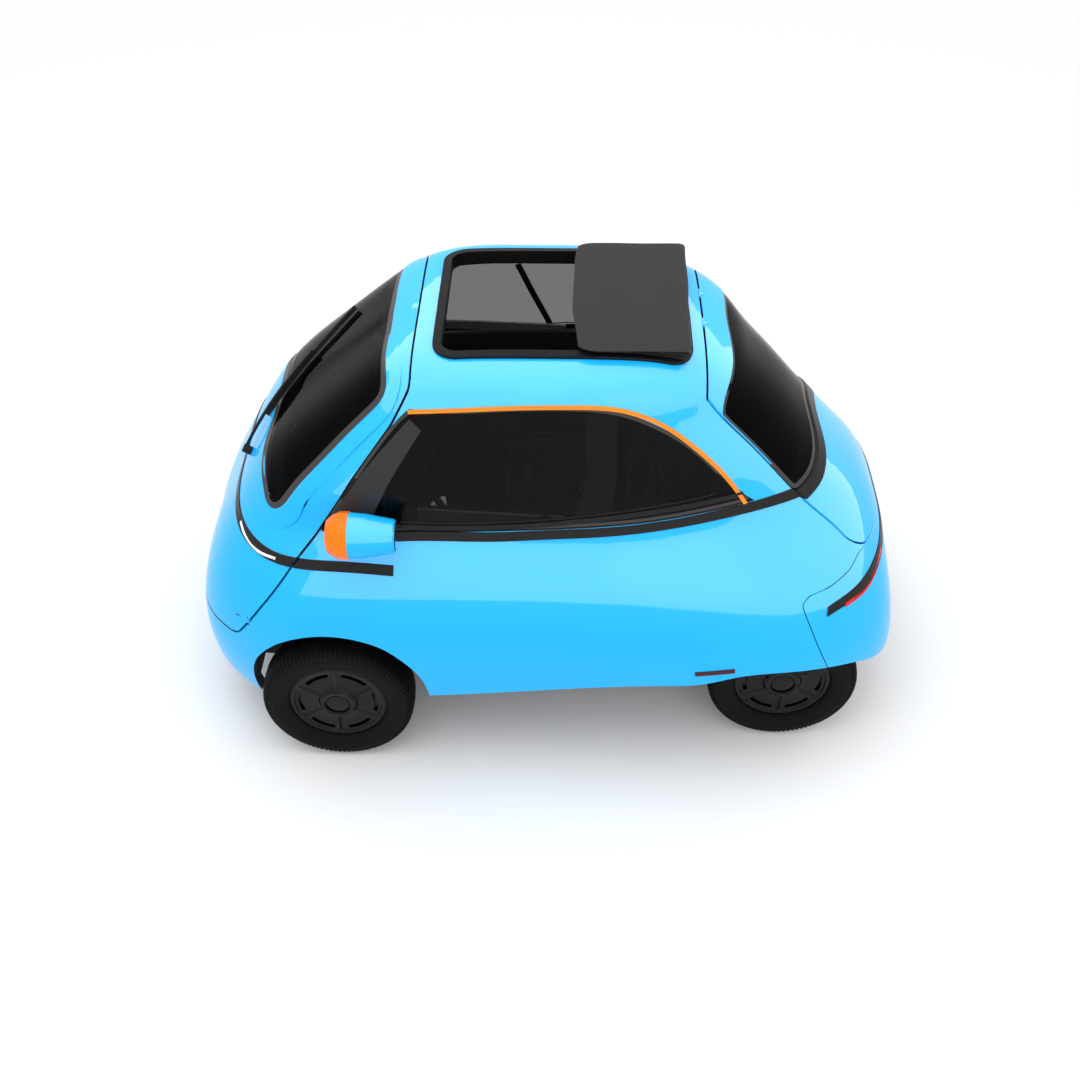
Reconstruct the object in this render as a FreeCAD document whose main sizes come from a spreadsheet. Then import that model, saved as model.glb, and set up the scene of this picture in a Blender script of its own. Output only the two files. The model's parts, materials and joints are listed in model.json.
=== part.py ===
import FreeCAD, Part
import Sketcher
import math
import os

# Two-seat electric microcar, full size, millimetres.
# X points forward, Y to the car's left, Z up; the origin is on the floor below the middle.

doc = FreeCAD.newDocument("Microcar")
vec = FreeCAD.Vector
sheet = doc.addObject("Spreadsheet::Sheet", "Sizes")

sizes = [
    ("half_length", 1233, "half of the overall length"),
    ("half_width", 733.5, "half width of the body form, within 0.5 percent"),
    ("roof_top", 1490, "height of the roof skin above the floor"),
    ("wall", 36, "thickness of body, door and hatch shells"),
    ("shut_gap", 7, "gap round the door, the hatch and the tail panel"),
    ("front_axle_x", 737, "front axle ahead of the middle"),
    ("wheelbase", 1566, "between the axles"),
    ("tyre_radius", 266, "outer radius of the tyres"),
    ("tyre_width", 145, "section width of the tyres"),
    ("rim_radius", 165, "bead seat radius of the rims"),
    ("rim_width", 114, "rim between its flanges"),
    ("front_wheel_y", 632, "middle plane of the front wheels"),
    ("rear_wheel_y", 509, "middle plane of the rear wheels"),
    ("disc_thickness", 9, "wheel disc"),
    ("hub_bore", 28, "radius of the centre hole in the wheel disc"),
    ("arch_half", 314, "half width of the front wheel arch"),
    ("arch_top", 623, "top of the front wheel arch above the floor"),
    ("wheel_room", 16, "left free round the rear tyres"),
    ("sill_height", 316, "lower edge of the body behind the front wheel"),
    ("tail_height", 427, "lower edge of the body behind the rear wheel"),
    ("nose_height", 186, "lower edge of the body ahead of the front wheels"),
    ("belt_height", 976, "middle of the belt trim beside the seats"),
    ("belt_width", 30, "belt trim"),
    ("trim_proud", 3, "trims stand out of the skin"),
    ("glass_thickness", 6, "all panes"),
    ("glass_inset", 3, "pane below the skin"),
    ("glass_lip", 15, "rebate that carries each pane"),
    ("seat_clearance", 0.3, "between pieces that sit on each other"),
    ("roof_opening_front", 352, "front edge of the roof opening"),
    ("roof_opening_rear", -424, "rear edge of the roof opening"),
    ("roof_opening_half", 312, "half width of the roof opening"),
    ("roof_opening_corner", 60, "corner radius of the roof opening"),
    ("roof_frame_width", 22, "raised frame round the opening"),
    ("roof_frame_height", 11, "raised frame above the skin"),
    ("fabric_front", -66, "front edge of the folded roof"),
    ("fabric_top", 1513, "top of the folded roof"),
    ("fabric_half", 332, "half width of the folded roof"),
    ("door_edge_x", 440, "shut line of the door across the roof"),
    ("door_bottom", 520, "lower edge of the door"),
    ("door_hinge_x", 1015, "hinge axis of the door"),
    ("door_hinge_y", 609, "hinge axis of the door"),
    ("hatch_edge_x", -486, "shut line of the hatch across the roof"),
    ("hatch_bottom", 768, "lower edge of the hatch"),
    ("hatch_half", 370, "half width of the hatch beside the rear glass"),
    ("hatch_flare", 43, "widening of the hatch at its lower edge"),
    ("knuckle_radius", 3.5, "hinge barrels of the hatch"),
    ("hinge_spacing", 180, "between the two hatch hinges"),
    ("pin_radius", 3, "hinge pin of the door"),
    ("pin_clearance", 0.5, "round the hinge pins"),
    ("bar_height", 26, "light strips"),
    ("pod_x", 655, "joint between ring and housing of the lamp pods"),
    ("pod_y", 652, "axis of the lamp pods"),
    ("pod_z", 1018, "axis of the lamp pods"),
    ("pod_radius", 73, "front of the lamp pods"),
    ("pod_tail_radius", 52, "rear of the lamp pods"),
    ("pod_length", 172, "housing of the lamp pods"),
    ("pod_ring_length", 38, "faceted ring of the lamp pods"),
    ("floor_top", 262, "cabin floor"),
    ("floor_thickness", 40, "floor pan"),
    ("seat_height", 560, "top of the seat base"),
    ("seat_front_x", 190, "front of the bench"),
    ("seat_rear_x", -300, "rear of the bench"),
    ("seat_half", 520, "half width of the bench"),
    ("cushion_thickness", 110, "seat cushion"),
    ("back_thickness", 120, "seat back"),
    ("back_half", 436, "half width of the seat back"),
    ("back_height", 560, "seat back above the seat base"),
    ("wheel_rim_radius", 175, "steering wheel"),
    ("wheel_grip", 15, "section radius of the steering wheel's rim"),
    ("post_x", 700, "upright that carries the steering column"),
    ("wheel_x", 445, "hub of the steering wheel"),
    ("wheel_y", 235, "steering column beside the middle"),
    ("wheel_z", 905, "hub of the steering wheel"),
    ("column_angle", 28, "steering column above the horizontal"),
    ("column_radius", 28, "steering column tube"),
    ("knuckle_y", 562, "kingpin axis beside the middle"),
    ("axle_radius", 22, "wheel spindles"),
]
for row, (name, number, note) in enumerate(sizes, start=1):
    sheet.set("A%d" % row, name)
    sheet.set("B%d" % row, str(number))
    sheet.set("C%d" % row, note)
    sheet.setAlias("B%d" % row, name)
doc.recompute()


class Size:
    """A number of the sheet together with the expression that gives it."""

    def __init__(self, value, text):
        self.value = float(value)
        self.text = text

    def __add__(self, other):
        other = size_of(other)
        return Size(self.value + other.value, "(%s + %s)" % (self.text, other.text))

    def __sub__(self, other):
        other = size_of(other)
        return Size(self.value - other.value, "(%s - %s)" % (self.text, other.text))

    def __mul__(self, other):
        other = size_of(other)
        return Size(self.value * other.value, "(%s * %s)" % (self.text, other.text))

    def __truediv__(self, other):
        other = size_of(other)
        return Size(self.value / other.value, "(%s / %s)" % (self.text, other.text))

    def __radd__(self, other):
        return size_of(other) + self

    def __rsub__(self, other):
        return size_of(other) - self

    def __rmul__(self, other):
        return size_of(other) * self

    def __neg__(self):
        return Size(-self.value, "(0 - %s)" % self.text)


def size_of(number):
    if isinstance(number, Size):
        return number
    return Size(number, "(%r)" % float(number))


class Sheet:
    """Named access to the driving sizes."""

    def __getattr__(self, name):
        return Size(sheet.get(name), "Sizes." + name)


size = Sheet()
parts = []


def keep(obj, label):
    """Mark an object as a sub-part and move it, so that the origin is amid the overall length."""
    obj.Label = label
    bound = dict((path.lstrip("."), text) for path, text in obj.ExpressionEngine)
    start = bound.get("Placement.Base.x", "(%r)" % obj.Placement.Base.x)
    obj.setExpression("Placement.Base.x", "%s - %s" % (start, middle_x.text))
    parts.append(obj)
    return obj


def place(obj, x, y, z, rotation=None):
    if rotation is not None:
        obj.Placement = FreeCAD.Placement(vec(0, 0, 0), rotation)
    for axis, number in (("x", x), ("y", y), ("z", z)):
        obj.setExpression("Placement.Base." + axis, size_of(number).text)


def box(name, x0, x1, y0, y1, z0, z1):
    """A box between two corners, bound to the sheet."""
    obj = doc.addObject("Part::Box", name)
    x0, x1, y0, y1, z0, z1 = [size_of(number) for number in (x0, x1, y0, y1, z0, z1)]
    obj.setExpression("Length", (x1 - x0).text)
    obj.setExpression("Width", (y1 - y0).text)
    obj.setExpression("Height", (z1 - z0).text)
    place(obj, x0, y0, z0)
    return obj


turns = {
    "z": FreeCAD.Rotation(),
    "x": FreeCAD.Rotation(vec(0, 1, 0), 90),
    "y": FreeCAD.Rotation(vec(1, 0, 0), -90),
    "-y": FreeCAD.Rotation(vec(1, 0, 0), 90),
}


def cylinder(name, axis, x, y, z, radius, length):
    """A cylinder that starts at a point and runs along an axis."""
    obj = doc.addObject("Part::Cylinder", name)
    obj.setExpression("Radius", size_of(radius).text)
    obj.setExpression("Height", size_of(length).text)
    place(obj, x, y, z, turns[axis])
    return obj


def cut(name, base, tool):
    obj = doc.addObject("Part::Cut", name)
    obj.Base = base
    obj.Tool = tool
    return obj


def fuse(name, shapes):
    obj = doc.addObject("Part::MultiFuse", name)
    obj.Shapes = shapes
    return obj


def common(name, shapes):
    obj = doc.addObject("Part::MultiCommon", name)
    obj.Shapes = shapes
    return obj


def feature(name, shape):
    """A shape made with Part's own functions, held by a plain feature."""
    obj = doc.addObject("Part::Feature", name)
    obj.Shape = shape
    obj.Placement = FreeCAD.Placement()
    return obj


def revolved(name, profile, axis, x, y, z):
    """A body turned about its own axis from a closed profile of (radius, along) points."""
    body = doc.addObject("PartDesign::Body", name)
    sketch = body.newObject("Sketcher::SketchObject", name + "_profile")
    planes = [o for o in body.Origin.OriginFeatures if o.Role == "XZ_Plane"]
    sketch.AttachmentSupport = [(planes[0], "")]
    sketch.MapMode = "FlatFace"
    corners = [(size_of(r), size_of(a)) for r, a in profile]
    count = len(corners)
    for i in range(count):
        p, q = corners[i], corners[(i + 1) % count]
        sketch.addGeometry(Part.LineSegment(vec(p[0].value, p[1].value, 0), vec(q[0].value, q[1].value, 0)), False)
    for i in range(count):
        sketch.addConstraint(Sketcher.Constraint("Coincident", i, 2, (i + 1) % count, 1))
    for i in range(count):
        r, a = corners[i]
        index = sketch.addConstraint(Sketcher.Constraint("DistanceX", -1, 1, i, 1, r.value))
        sketch.setExpression("Constraints[%d]" % index, r.text)
        index = sketch.addConstraint(Sketcher.Constraint("DistanceY", -1, 1, i, 1, a.value))
        sketch.setExpression("Constraints[%d]" % index, a.text)
    turn = body.newObject("PartDesign::Revolution", name + "_turn")
    turn.Profile = sketch
    turn.ReferenceAxis = (sketch, ["V_Axis"])
    turn.Angle = 360
    body.Tip = turn
    place(body, x, y, z, turns[axis])
    return body


# Body form: plan outlines at rising heights. Each outline is a superellipse whose front
# and rear halves have their own reach and squareness.
# height, front reach, rear reach, half width, widest station, front and rear squareness
stations = [
    (130, 0.942, 0.957, 0.830, 150, 5.2, 5.4),
    (180, 0.965, 0.962, 0.870, 150, 5.0, 5.4),
    (300, 0.995, 0.990, 0.935, 130, 4.7, 5.0),
    (450, 1.009, 0.991, 0.980, 120, 4.2, 4.6),
    (600, 0.994, 0.974, 1.000, 120, 3.7, 3.8),
    (750, 0.943, 0.939, 0.975, 110, 3.4, 2.9),
    (850, 0.895, 0.892, 0.907, 100, 3.3, 2.5),
    (920, 0.865, 0.845, 0.836, 80, 3.4, 2.4),
    (1050, 0.790, 0.747, 0.785, 60, 3.8, 2.4),
    (1200, 0.657, 0.638, 0.725, 40, 4.1, 2.5),
    (1330, 0.530, 0.542, 0.671, 20, 4.3, 2.6),
    (1400, 0.459, 0.489, 0.630, 0, 4.5, 2.8),
    (1440, 0.410, 0.437, 0.592, -10, 4.5, 2.8),
    (1465, 0.355, 0.380, 0.535, -20, 4.3, 2.8),
    (1482, 0.283, 0.308, 0.432, -20, 4.0, 2.8),
    (1490, 0.186, 0.207, 0.275, -20, 3.4, 2.7),
]
lift = size.roof_top.value - stations[-1][0]
nose_share = max(row[1] for row in stations)
tail_share = max(row[2] for row in stations)
middle_x = size.half_length * ((nose_share - tail_share) / 2)


def station_rows():
    """Stations in millimetres; the part above the belt follows the roof height."""
    rows = []
    for z, front, rear, half, widest, nose, tail in stations:
        share = max(0.0, (z - 600.0) / (stations[-1][0] - 600.0))
        rows.append((
            z + lift * share,
            front * size.half_length.value,
            -rear * size.half_length.value,
            half * size.half_width.value,
            widest, nose, tail,
        ))
    return rows


def smooth(points, at):
    """Monotone cubic through (x, y) points."""
    xs = [p[0] for p in points]
    ys = [p[1] for p in points]
    count = len(xs)
    slope = [(ys[i + 1] - ys[i]) / (xs[i + 1] - xs[i]) for i in range(count - 1)]
    grade = [slope[0]]
    for i in range(1, count - 1):
        if slope[i - 1] * slope[i] <= 0:
            grade.append(0.0)
        else:
            w0 = 2 * (xs[i + 1] - xs[i]) + (xs[i] - xs[i - 1])
            w1 = (xs[i + 1] - xs[i]) + 2 * (xs[i] - xs[i - 1])
            grade.append((w0 + w1) / (w0 / slope[i - 1] + w1 / slope[i]))
    grade.append(slope[-1])
    at = min(max(at, xs[0]), xs[-1])
    i = max(j for j in range(count - 1) if xs[j] <= at)
    step = xs[i + 1] - xs[i]
    t = (at - xs[i]) / step
    a = (1 + 2 * t) * (1 - t) ** 2 * ys[i] + t * (1 - t) ** 2 * step * grade[i]
    b = t * t * (3 - 2 * t) * ys[i + 1] + t * t * (t - 1) * step * grade[i + 1]
    return a + b


rows = station_rows()
low = rows[0][0]
high = rows[-1][0]
reach = [[(row[0], row[k]) for row in rows] for k in range(7)]


def offset_reach(column, offset):
    """One reach of the body, moved by an offset along its own normal in the section."""
    sign = -1.0 if column == 2 else 1.0
    moved = []
    for i in range(121):
        z = low + (high - low) * i / 120.0
        step = 1.0
        up = smooth(reach[column], min(z + step, high))
        down = smooth(reach[column], max(z - step, low))
        grade = sign * (up - down) / (min(z + step, high) - max(z - step, low))
        norm = math.hypot(1.0, grade)
        value = sign * smooth(reach[column], z) + offset / norm
        moved.append((z - offset * grade / norm, value))
    clean = [moved[0]]
    for point in moved[1:]:
        if point[0] > clean[-1][0] + 0.5:
            clean.append(point)
    return [(z, sign * value) for z, value in clean]


def outline(z, numbers, widest, nose, tail, count):
    front, rear, half = numbers
    points = []
    for i in range(count):
        a = 2 * math.pi * i / count
        c = math.cos(a)
        s = math.sin(a)
        power = nose if c >= 0 else tail
        length = front - widest if c >= 0 else widest - rear
        k = (abs(c) ** power + abs(s) ** power) ** (-1.0 / power)
        points.append(vec(widest + length * k * c, half * k * s, z))
    return points


def closed_spline(points):
    spline = Part.BSplineCurve()
    spline.interpolate(Points=points, PeriodicFlag=True, Parameters=[float(i) for i in range(len(points) + 1)])
    return Part.Wire([spline.toShape()])


def straight(points, at):
    for i in range(len(points) - 1):
        if points[i][0] <= at <= points[i + 1][0]:
            share = (at - points[i][0]) / (points[i + 1][0] - points[i][0])
            return points[i][1] + share * (points[i + 1][1] - points[i][1])
    return points[0][1] if at < points[0][0] else points[-1][1]


skins = {}


def skin(offset, count=20, steps=None):
    """The whole body form as a solid, moved in or out by an offset."""
    key = (offset, count)
    if key in skins:
        return skins[key]
    profiles = [offset_reach(k, offset) for k in (1, 2, 3)]
    top = min(profile[-1][0] for profile in profiles)
    bottom = low
    wires = []
    heights = [row[0] for row in rows]
    if steps:
        heights = steps
    spread = (top - bottom) / (high - low)
    for z in heights:
        at = bottom + (z - low) * spread
        numbers = [straight(profile, at) for profile in profiles]
        wires.append(closed_spline(outline(at, numbers, smooth(reach[4], z), smooth(reach[5], z), smooth(reach[6], z), count)))
    solid = Part.makeLoft(wires, True, steps is not None)
    skins[key] = solid
    return solid


def prism_y(points, reach_y=900.0, y0=None):
    """A side-view polygon of (x, z) points extruded across the car."""
    start = -reach_y if y0 is None else y0
    wire = Part.makePolygon([vec(x, start, z) for x, z in points] + [vec(points[0][0], start, points[0][1])])
    return Part.Face(wire).extrude(vec(0, reach_y - start, 0))


def rounded(points, radii, plane="xz", at=0.0):
    """A closed wire through corner points with an arc of the given radius at each corner."""
    count = len(points)
    edges = []
    last = None
    first = None

    def to3d(p):
        if plane == "xz":
            return vec(p[0], at, p[1])
        if plane == "yz":
            return vec(at, p[0], p[1])
        return vec(p[0], p[1], at)

    for i in range(count):
        a = vec(*points[i - 1], 0)
        b = vec(*points[i], 0)
        c = vec(*points[(i + 1) % count], 0)
        r = radii[i] if isinstance(radii, (list, tuple)) else radii
        u = (a - b).normalize()
        v = (c - b).normalize()
        half = math.acos(max(-1.0, min(1.0, u.dot(v)))) / 2
        if r > 0.01 and half < math.pi / 2 - 0.01:
            r = min(r, 0.48 * min((a - b).Length, (c - b).Length) * math.tan(half))
        if r > 0.01 and half < math.pi / 2 - 0.01:
            d = r / math.tan(half)
            start = b + u * d
            end = b + v * d
            middle = (u + v).normalize()
            centre = b + middle * (r / math.sin(half))
            mid = centre - middle * r
            if last is not None and (start - last).Length > 1e-6:
                edges.append(Part.LineSegment(to3d(last), to3d(start)).toShape())
            edges.append(Part.Arc(to3d(start), to3d(mid), to3d(end)).toShape())
            if first is None:
                first = start
            last = end
        else:
            if last is not None:
                edges.append(Part.LineSegment(to3d(last), to3d(b)).toShape())
            if first is None:
                first = b
            last = b
    if (first - last).Length > 1e-6:
        edges.append(Part.LineSegment(to3d(last), to3d(first)).toShape())
    return Part.Wire(edges)


def grown(wire, offset):
    """A wire moved outwards (or inwards) in its own plane."""
    if abs(offset) < 1e-6:
        return Part.Face(wire)
    moved = Part.Face(wire).makeOffset2D(offset)
    return moved if moved.ShapeType == "Face" else Part.Face(moved.Wires[0])


def flowing(points, count=2):
    """Points of a smooth open curve that runs through the given ones."""
    result = []
    last = len(points) - 1
    for i in range(last):
        a, b, c, d = points[max(i - 1, 0)], points[i], points[i + 1], points[min(i + 2, last)]
        for k in range(count):
            t = k / count
            result.append(tuple(
                b[j] + 0.5 * t * (c[j] - a[j] + t * (2 * a[j] - 5 * b[j] + 4 * c[j] - d[j] + t * (3 * (b[j] - c[j]) + d[j] - a[j])))
                for j in (0, 1)))
    return result + [points[last]]


def mirror(shape):
    return shape.mirror(vec(0, 0, 0), vec(0, 1, 0))


def solid_of(shape):
    """The shape's solids as one plain solid or compound."""
    solids = [s for s in shape.Solids if s.Volume > 10.0]
    return solids[0] if len(solids) == 1 else Part.makeCompound(solids)


wall = size.wall.value
gap = size.shut_gap.value
outer = skin(0.0)
inner_steps = [130, 200, 300, 450, 620, 780, 920, 1060, 1220, 1350, 1430, 1470, 1490]
inner = skin(-wall, 20, inner_steps)
shell = outer.cut(inner)

# Side-view cutters. The door's shut line comes down from the roof along the pillar and
# turns under the nose.
edge = size.door_edge_x.value
bottom = size.door_bottom.value
door_points = [
    (edge, 1700), (edge, 1415), (500, 1312), (633, 1134), (762, 932),
    (832, 851), (964, 674), (1072, bottom), (1500, bottom), (1500, 1700),
]
door_wire = rounded(door_points, [0, 60, 200, 500, 400, 400, 400, 45, 0, 0])
door_block = grown(door_wire, 0).extrude(vec(0, 1800, 0))
door_block.translate(vec(0, -900, 0))
door_hole = grown(door_wire, gap).extrude(vec(0, 1800, 0))
door_hole.translate(vec(0, -900, 0))

# Rear-view cutter of the hatch; its front face leans so that it lifts clear of the roof.
hatch_half = size.hatch_half.value
hatch_low = size.hatch_bottom.value
hatch_foot = hatch_half + size.hatch_flare.value
hatch_wire = rounded(
    [(-hatch_foot, hatch_low), (hatch_foot, hatch_low), (hatch_half + 7, 880), (hatch_half, 960), (hatch_half, 1700),
     (-hatch_half, 1700), (-hatch_half, 960), (-hatch_half - 7, 880)],
    [45, 45, 500, 500, 0, 0, 500, 500], "yz", -300.0)


def hatch_solid(clear):
    block = grown(hatch_wire, clear).extrude(vec(-1400, 0, 0))
    front = size.hatch_edge_x.value - gap + clear
    return block.common(prism_y([(front, 1760), (front, 1150), (-760, 650), (-1600, 600), (-1600, 1760)]))


hatch_block = hatch_solid(0.0)
hatch_hole = hatch_solid(gap)

# Tail panel: the bumper and lower corners behind a line that climbs from the wheel to the hatch.
tail_points = [
    (-1600, 300), (-1003, 300), (-954, 441), (-876, 621), (-838, 706), (-862, 723), (-935, 726), (-1010, 741),
    (-1046, hatch_low - gap), (-1600, hatch_low - gap),
]
tail_wire = rounded(tail_points, [0, 0, 400, 400, 14, 20, 200, 60, 0, 0])
tail_block = grown(tail_wire, 0).extrude(vec(0, 1800, 0))
tail_block.translate(vec(0, -900, 0))
tail_hole = grown(tail_wire, 3.0).extrude(vec(0, 1800, 0))
tail_hole.translate(vec(0, -900, 0))

# Lower edge of the body.
sill = size.sill_height.value
tail_z = size.tail_height.value
nose_z = size.nose_height.value
sill_curve = Part.BSplineCurve()
sill_curve.interpolate(Points=[vec(x, -900, z) for x, z in (
    (430, sill - 2), (250, sill + 18), (40, sill + 46), (-180, sill + 71), (-400, sill + 86), (-520, sill + 97),
    (-640, sill + 135), (-740, sill + 143), (-850, tail_z + 22), (-985, tail_z), (-1063, tail_z - 22), (-1153, tail_z - 64),
    (-1300, tail_z - 90), (-1500, tail_z - 100))])
low_edges = [
    sill_curve.toShape(),
    Part.LineSegment(vec(-1500, -900, tail_z - 100), vec(-1500, -900, 0)).toShape(),
    Part.LineSegment(vec(-1500, -900, 0), vec(1500, -900, 0)).toShape(),
    Part.LineSegment(vec(1500, -900, 0), vec(1500, -900, nose_z - 8)).toShape(),
    Part.LineSegment(vec(1500, -900, nose_z - 8), vec(1000, -900, nose_z)).toShape(),
    Part.LineSegment(vec(1000, -900, nose_z), vec(430, -900, sill - 2)).toShape(),
]
below = Part.Face(Part.Wire(low_edges)).extrude(vec(0, 1800, 0))

axle_f = size.front_axle_x.value
axle_r = axle_f - size.wheelbase.value
hub_z = size.tyre_radius.value
arch_side = [
    (299, -80), (302, 0), (297, 90), (266, 182), (184, 277), (78, 336), (-19, 357), (-113, 348), (-203, 306),
    (-289, 198), (-320, 90), (-328, -16), (-328, -80),
]
arch_wide = size.arch_half.value / 314.0
arch_high = (size.arch_top.value - hub_z) / 357.0
arch_points = flowing([(axle_f + x * arch_wide, hub_z + z * arch_high) for x, z in arch_side])
arch_points = arch_points + [(arch_points[-1][0], -60), (arch_points[0][0], -60)]
arch_wire = rounded(arch_points, [0] + [5000] * (len(arch_points) - 4) + [0, 0, 0])


def arch_block(offset, start, end):
    """The front wheel arch's side outline, moved outwards and extruded between two planes."""
    block = grown(arch_wire, offset).extrude(vec(0, end - start, 0))
    block.translate(vec(0, start, 0))
    return block


arches = arch_block(0.0, -900, 900)

# Roof opening for the folding top.
front_x = size.roof_opening_front.value
rear_x = size.roof_opening_rear.value
half_y = size.roof_opening_half.value
opening_wire = rounded([(rear_x, -half_y), (front_x, -half_y), (front_x, half_y), (rear_x, half_y)], size.roof_opening_corner.value, "xy", 1300.0)
opening = Part.Face(opening_wire).extrude(vec(0, 0, 400))


# Panes: each sits in a rebate of its panel.
inset = size.glass_inset.value
glass = size.glass_thickness.value
lip = size.glass_lip.value
fit = size.seat_clearance.value
pane_top = skin(-inset)
pane_low = skin(-(inset + glass))
rebate_low = skin(-(inset + glass + fit))

screen_side = flowing([
    (0, 1432), (200, 1428), (350, 1410), (412, 1352), (453, 1244), (484, 1126), (507, 1015), (489, 973), (430, 990),
    (345, 1040), (216, 1061), (0, 1066),
])
screen_wire = rounded(screen_side + [(-y, z) for y, z in reversed(screen_side[1:-1])], 5000, "yz", 0.0)
rear_side = flowing([
    (0, 1420), (124, 1414), (253, 1387), (336, 1340), (400, 1240), (440, 1100), (430, 985), (350, 991), (280, 1007),
    (169, 1048), (85, 1078), (0, 1088),
])
rear_wire = rounded(rear_side + [(-y, z) for y, z in reversed(rear_side[1:-1])], 5000, "yz", -500.0)
belt = size.belt_height.value
band = size.belt_width.value
side_low = flowing([
    (749, 944), (610, 960), (470, belt - 14 + band / 2), (250, belt - 7 + band / 2), (30, belt + band / 2 + 1),
    (-289, belt + band / 2 + 14), (-483, belt + band / 2 + 24), (-668, belt + band / 2 + 24),
])
side_high = flowing([
    (-668, belt + band / 2 + 24), (-641, 1034), (-559, 1117), (-439, 1243), (-277, 1350), (-122, 1388), (154, 1385),
    (437, 1366),
])
side_front = flowing([(437, 1366), (505, 1298), (640, 1118), (749, 944)])
side_points = side_low + side_high[1:] + side_front[1:-1]
side_radii = [5000] * len(side_points)
side_radii[0] = side_radii[len(side_low) - 1] = 8
side_radii[len(side_low) + len(side_high) - 2] = 16
side_wire = rounded(side_points, side_radii)


def pane(wire, direction, depth, clip=None):
    """The rebate, the window hole and the pane for one outline."""
    def block(offset):
        solid = grown(wire, offset).extrude(direction * depth)
        return solid.common(clip) if clip else solid
    hole = block(-lip).fuse(block(0.0).cut(rebate_low))
    slab = block(-inset).common(pane_top).cut(pane_low)
    return hole, solid_of(slab)


forward = vec(1, 0, 0)
front_room = prism_y([(480, 900), (1400, 900), (1400, 1700), (480, 1700)])
screen_hole, screen = pane(screen_wire, forward, 1400, front_room)
rear_room = hatch_solid(-1.0)
rear_hole, rear_pane = pane(rear_wire, vec(-1, 0, 0), 900, rear_room)
side_hole, side_pane = pane(side_wire, vec(0, 1, 0), 900)

# Ribbons follow the skin: light strips and belt trims.


def ribbon(path, height, depth):
    """A smooth band whose middle line runs through points on the skin."""
    wires = []
    count = len(path)
    for i, (x, y, z) in enumerate(path):
        before = path[max(i - 1, 0)]
        after = path[min(i + 1, count - 1)]
        along = vec(after[0] - before[0], after[1] - before[1], 0)
        side = vec(-along.y, along.x, 0).normalize() * depth
        up = vec(0, 0, height / 2.0)
        middle = vec(x, y, z)
        corners = [middle - side - up, middle + side - up, middle + side + up, middle - side + up]
        wires.append(Part.makePolygon(corners + [corners[0]]))
    return Part.makeLoft(wires, True, False)


def both(path):
    return path + [(x, -y, z) for x, y, z in reversed(path) if y != 0]


proud = skin(size.trim_proud.value)
bar = size.bar_height.value
bar_depth = 10.0
strip_low = skin(-bar_depth)
strip_seat = skin(-(bar_depth + fit))
front_path = both([
    (660, 626, 861), (760, 606, 851), (860, 577, 839), (960, 517, 836), (1040, 400, 852), (1066, 300, 870), (1079, 160, 894),
    (1082, 0, 903)])
tail_path = both([
    (-900, 608, 657), (-966, 577, 669), (-1010, 542, 675), (-1049, 500, 682), (-1083, 451, 691), (-1116, 388, 700),
    (-1148, 293, 709), (-1168, 150, 718), (-1174, 0, 721)])
side_path = [(470, 648, 864), (560, 638, 864), (660, 626, 861), (760, 606, 851), (860, 577, 839)]
layer = proud.cut(strip_low)
bar_front_all = ribbon(front_path, bar, 90)
bar_side_all = ribbon(side_path, bar, 70)
tail_all = ribbon(tail_path, bar, 90)
groove_front = ribbon(front_path, bar + 2 * fit, 90).cut(strip_seat)
groove_tail = ribbon(tail_path, bar + 2 * fit, 90).cut(strip_seat)


def side_end(more):
    return prism_y([(511 - more, 700), (900, 700), (900, 1000), (496 - more, 1000)], 900.0, 0.0)


groove_side = ribbon(side_path, bar + 2 * fit, 70).cut(strip_seat).common(side_end(fit))
tail_end = prism_y([(-1400, 500), (-915, 500), (-950, 900), (-1400, 900)])

belt_path = [(730, 572, 932), (600, 590, 945), (470, 601, belt - 14), (250, 606, belt - 8), (30, 602, belt), (-226, 585, belt + 9), (-484, 535, belt + 22), (-684, 462, belt + 22), (-832, 380, belt + 10)]
belt_all = ribbon(belt_path, band, 70)
belt_groove = ribbon(belt_path, band + 2 * fit, 70).cut(strip_seat)
not_door = door_hole
not_hatch = hatch_hole
belt_piece = solid_of(belt_all.common(layer).cut(not_door).cut(not_hatch))

marker_path = [(-470, 718, 471), (-530, 716, 478), (-590, 713, 484), (-650, 709, 490)]


def marker_ribbon(more):
    """The side marker's band between slanting ends, made larger all round for its groove."""
    ends = prism_y([(-640 - more, 400), (-505 + more, 400), (-475 + more, 600), (-610 - more, 600)])
    return ribbon(marker_path, 20 + 2 * more, 60).common(ends)


marker = solid_of(marker_ribbon(0.0).common(layer))
marker_groove = marker_ribbon(fit).cut(strip_seat)

# Trim below the rear glass, in line with the belt trims.
trim_depth = 6.0
rear_band = grown(rear_wire, band).extrude(vec(-1400, 0, 0)).cut(grown(rear_wire, fit).extrude(vec(-1400, 0, 0)))
rear_low = prism_y([(-500, 900), (-500, 1092), (-1600, 1132), (-1600, 900)])
rear_trim = rear_band.common(proud).cut(skin(-trim_depth)).common(hatch_solid(-1.0)).common(rear_low)
rear_groove = grown(rear_wire, band + fit).extrude(vec(-1400, 0, 0)).cut(skin(-trim_depth - fit)).common(rear_low)

# Panels
door_shape = shell.common(door_block).cut(screen_hole)
door_shape = door_shape.cut(groove_front)
body_shape = shell.cut(door_hole).cut(hatch_hole).cut(tail_hole).cut(opening).cut(below)
body_shape = body_shape.cut(arches)
for piece in (side_hole, belt_groove, groove_side, marker_groove):
    body_shape = body_shape.cut(piece).cut(mirror(piece))
hatch_shape = shell.common(hatch_block).cut(rear_hole).cut(rear_groove)
tail_shape = shell.common(tail_block).cut(hatch_hole).cut(below).cut(groove_tail.common(tail_end))

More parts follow.
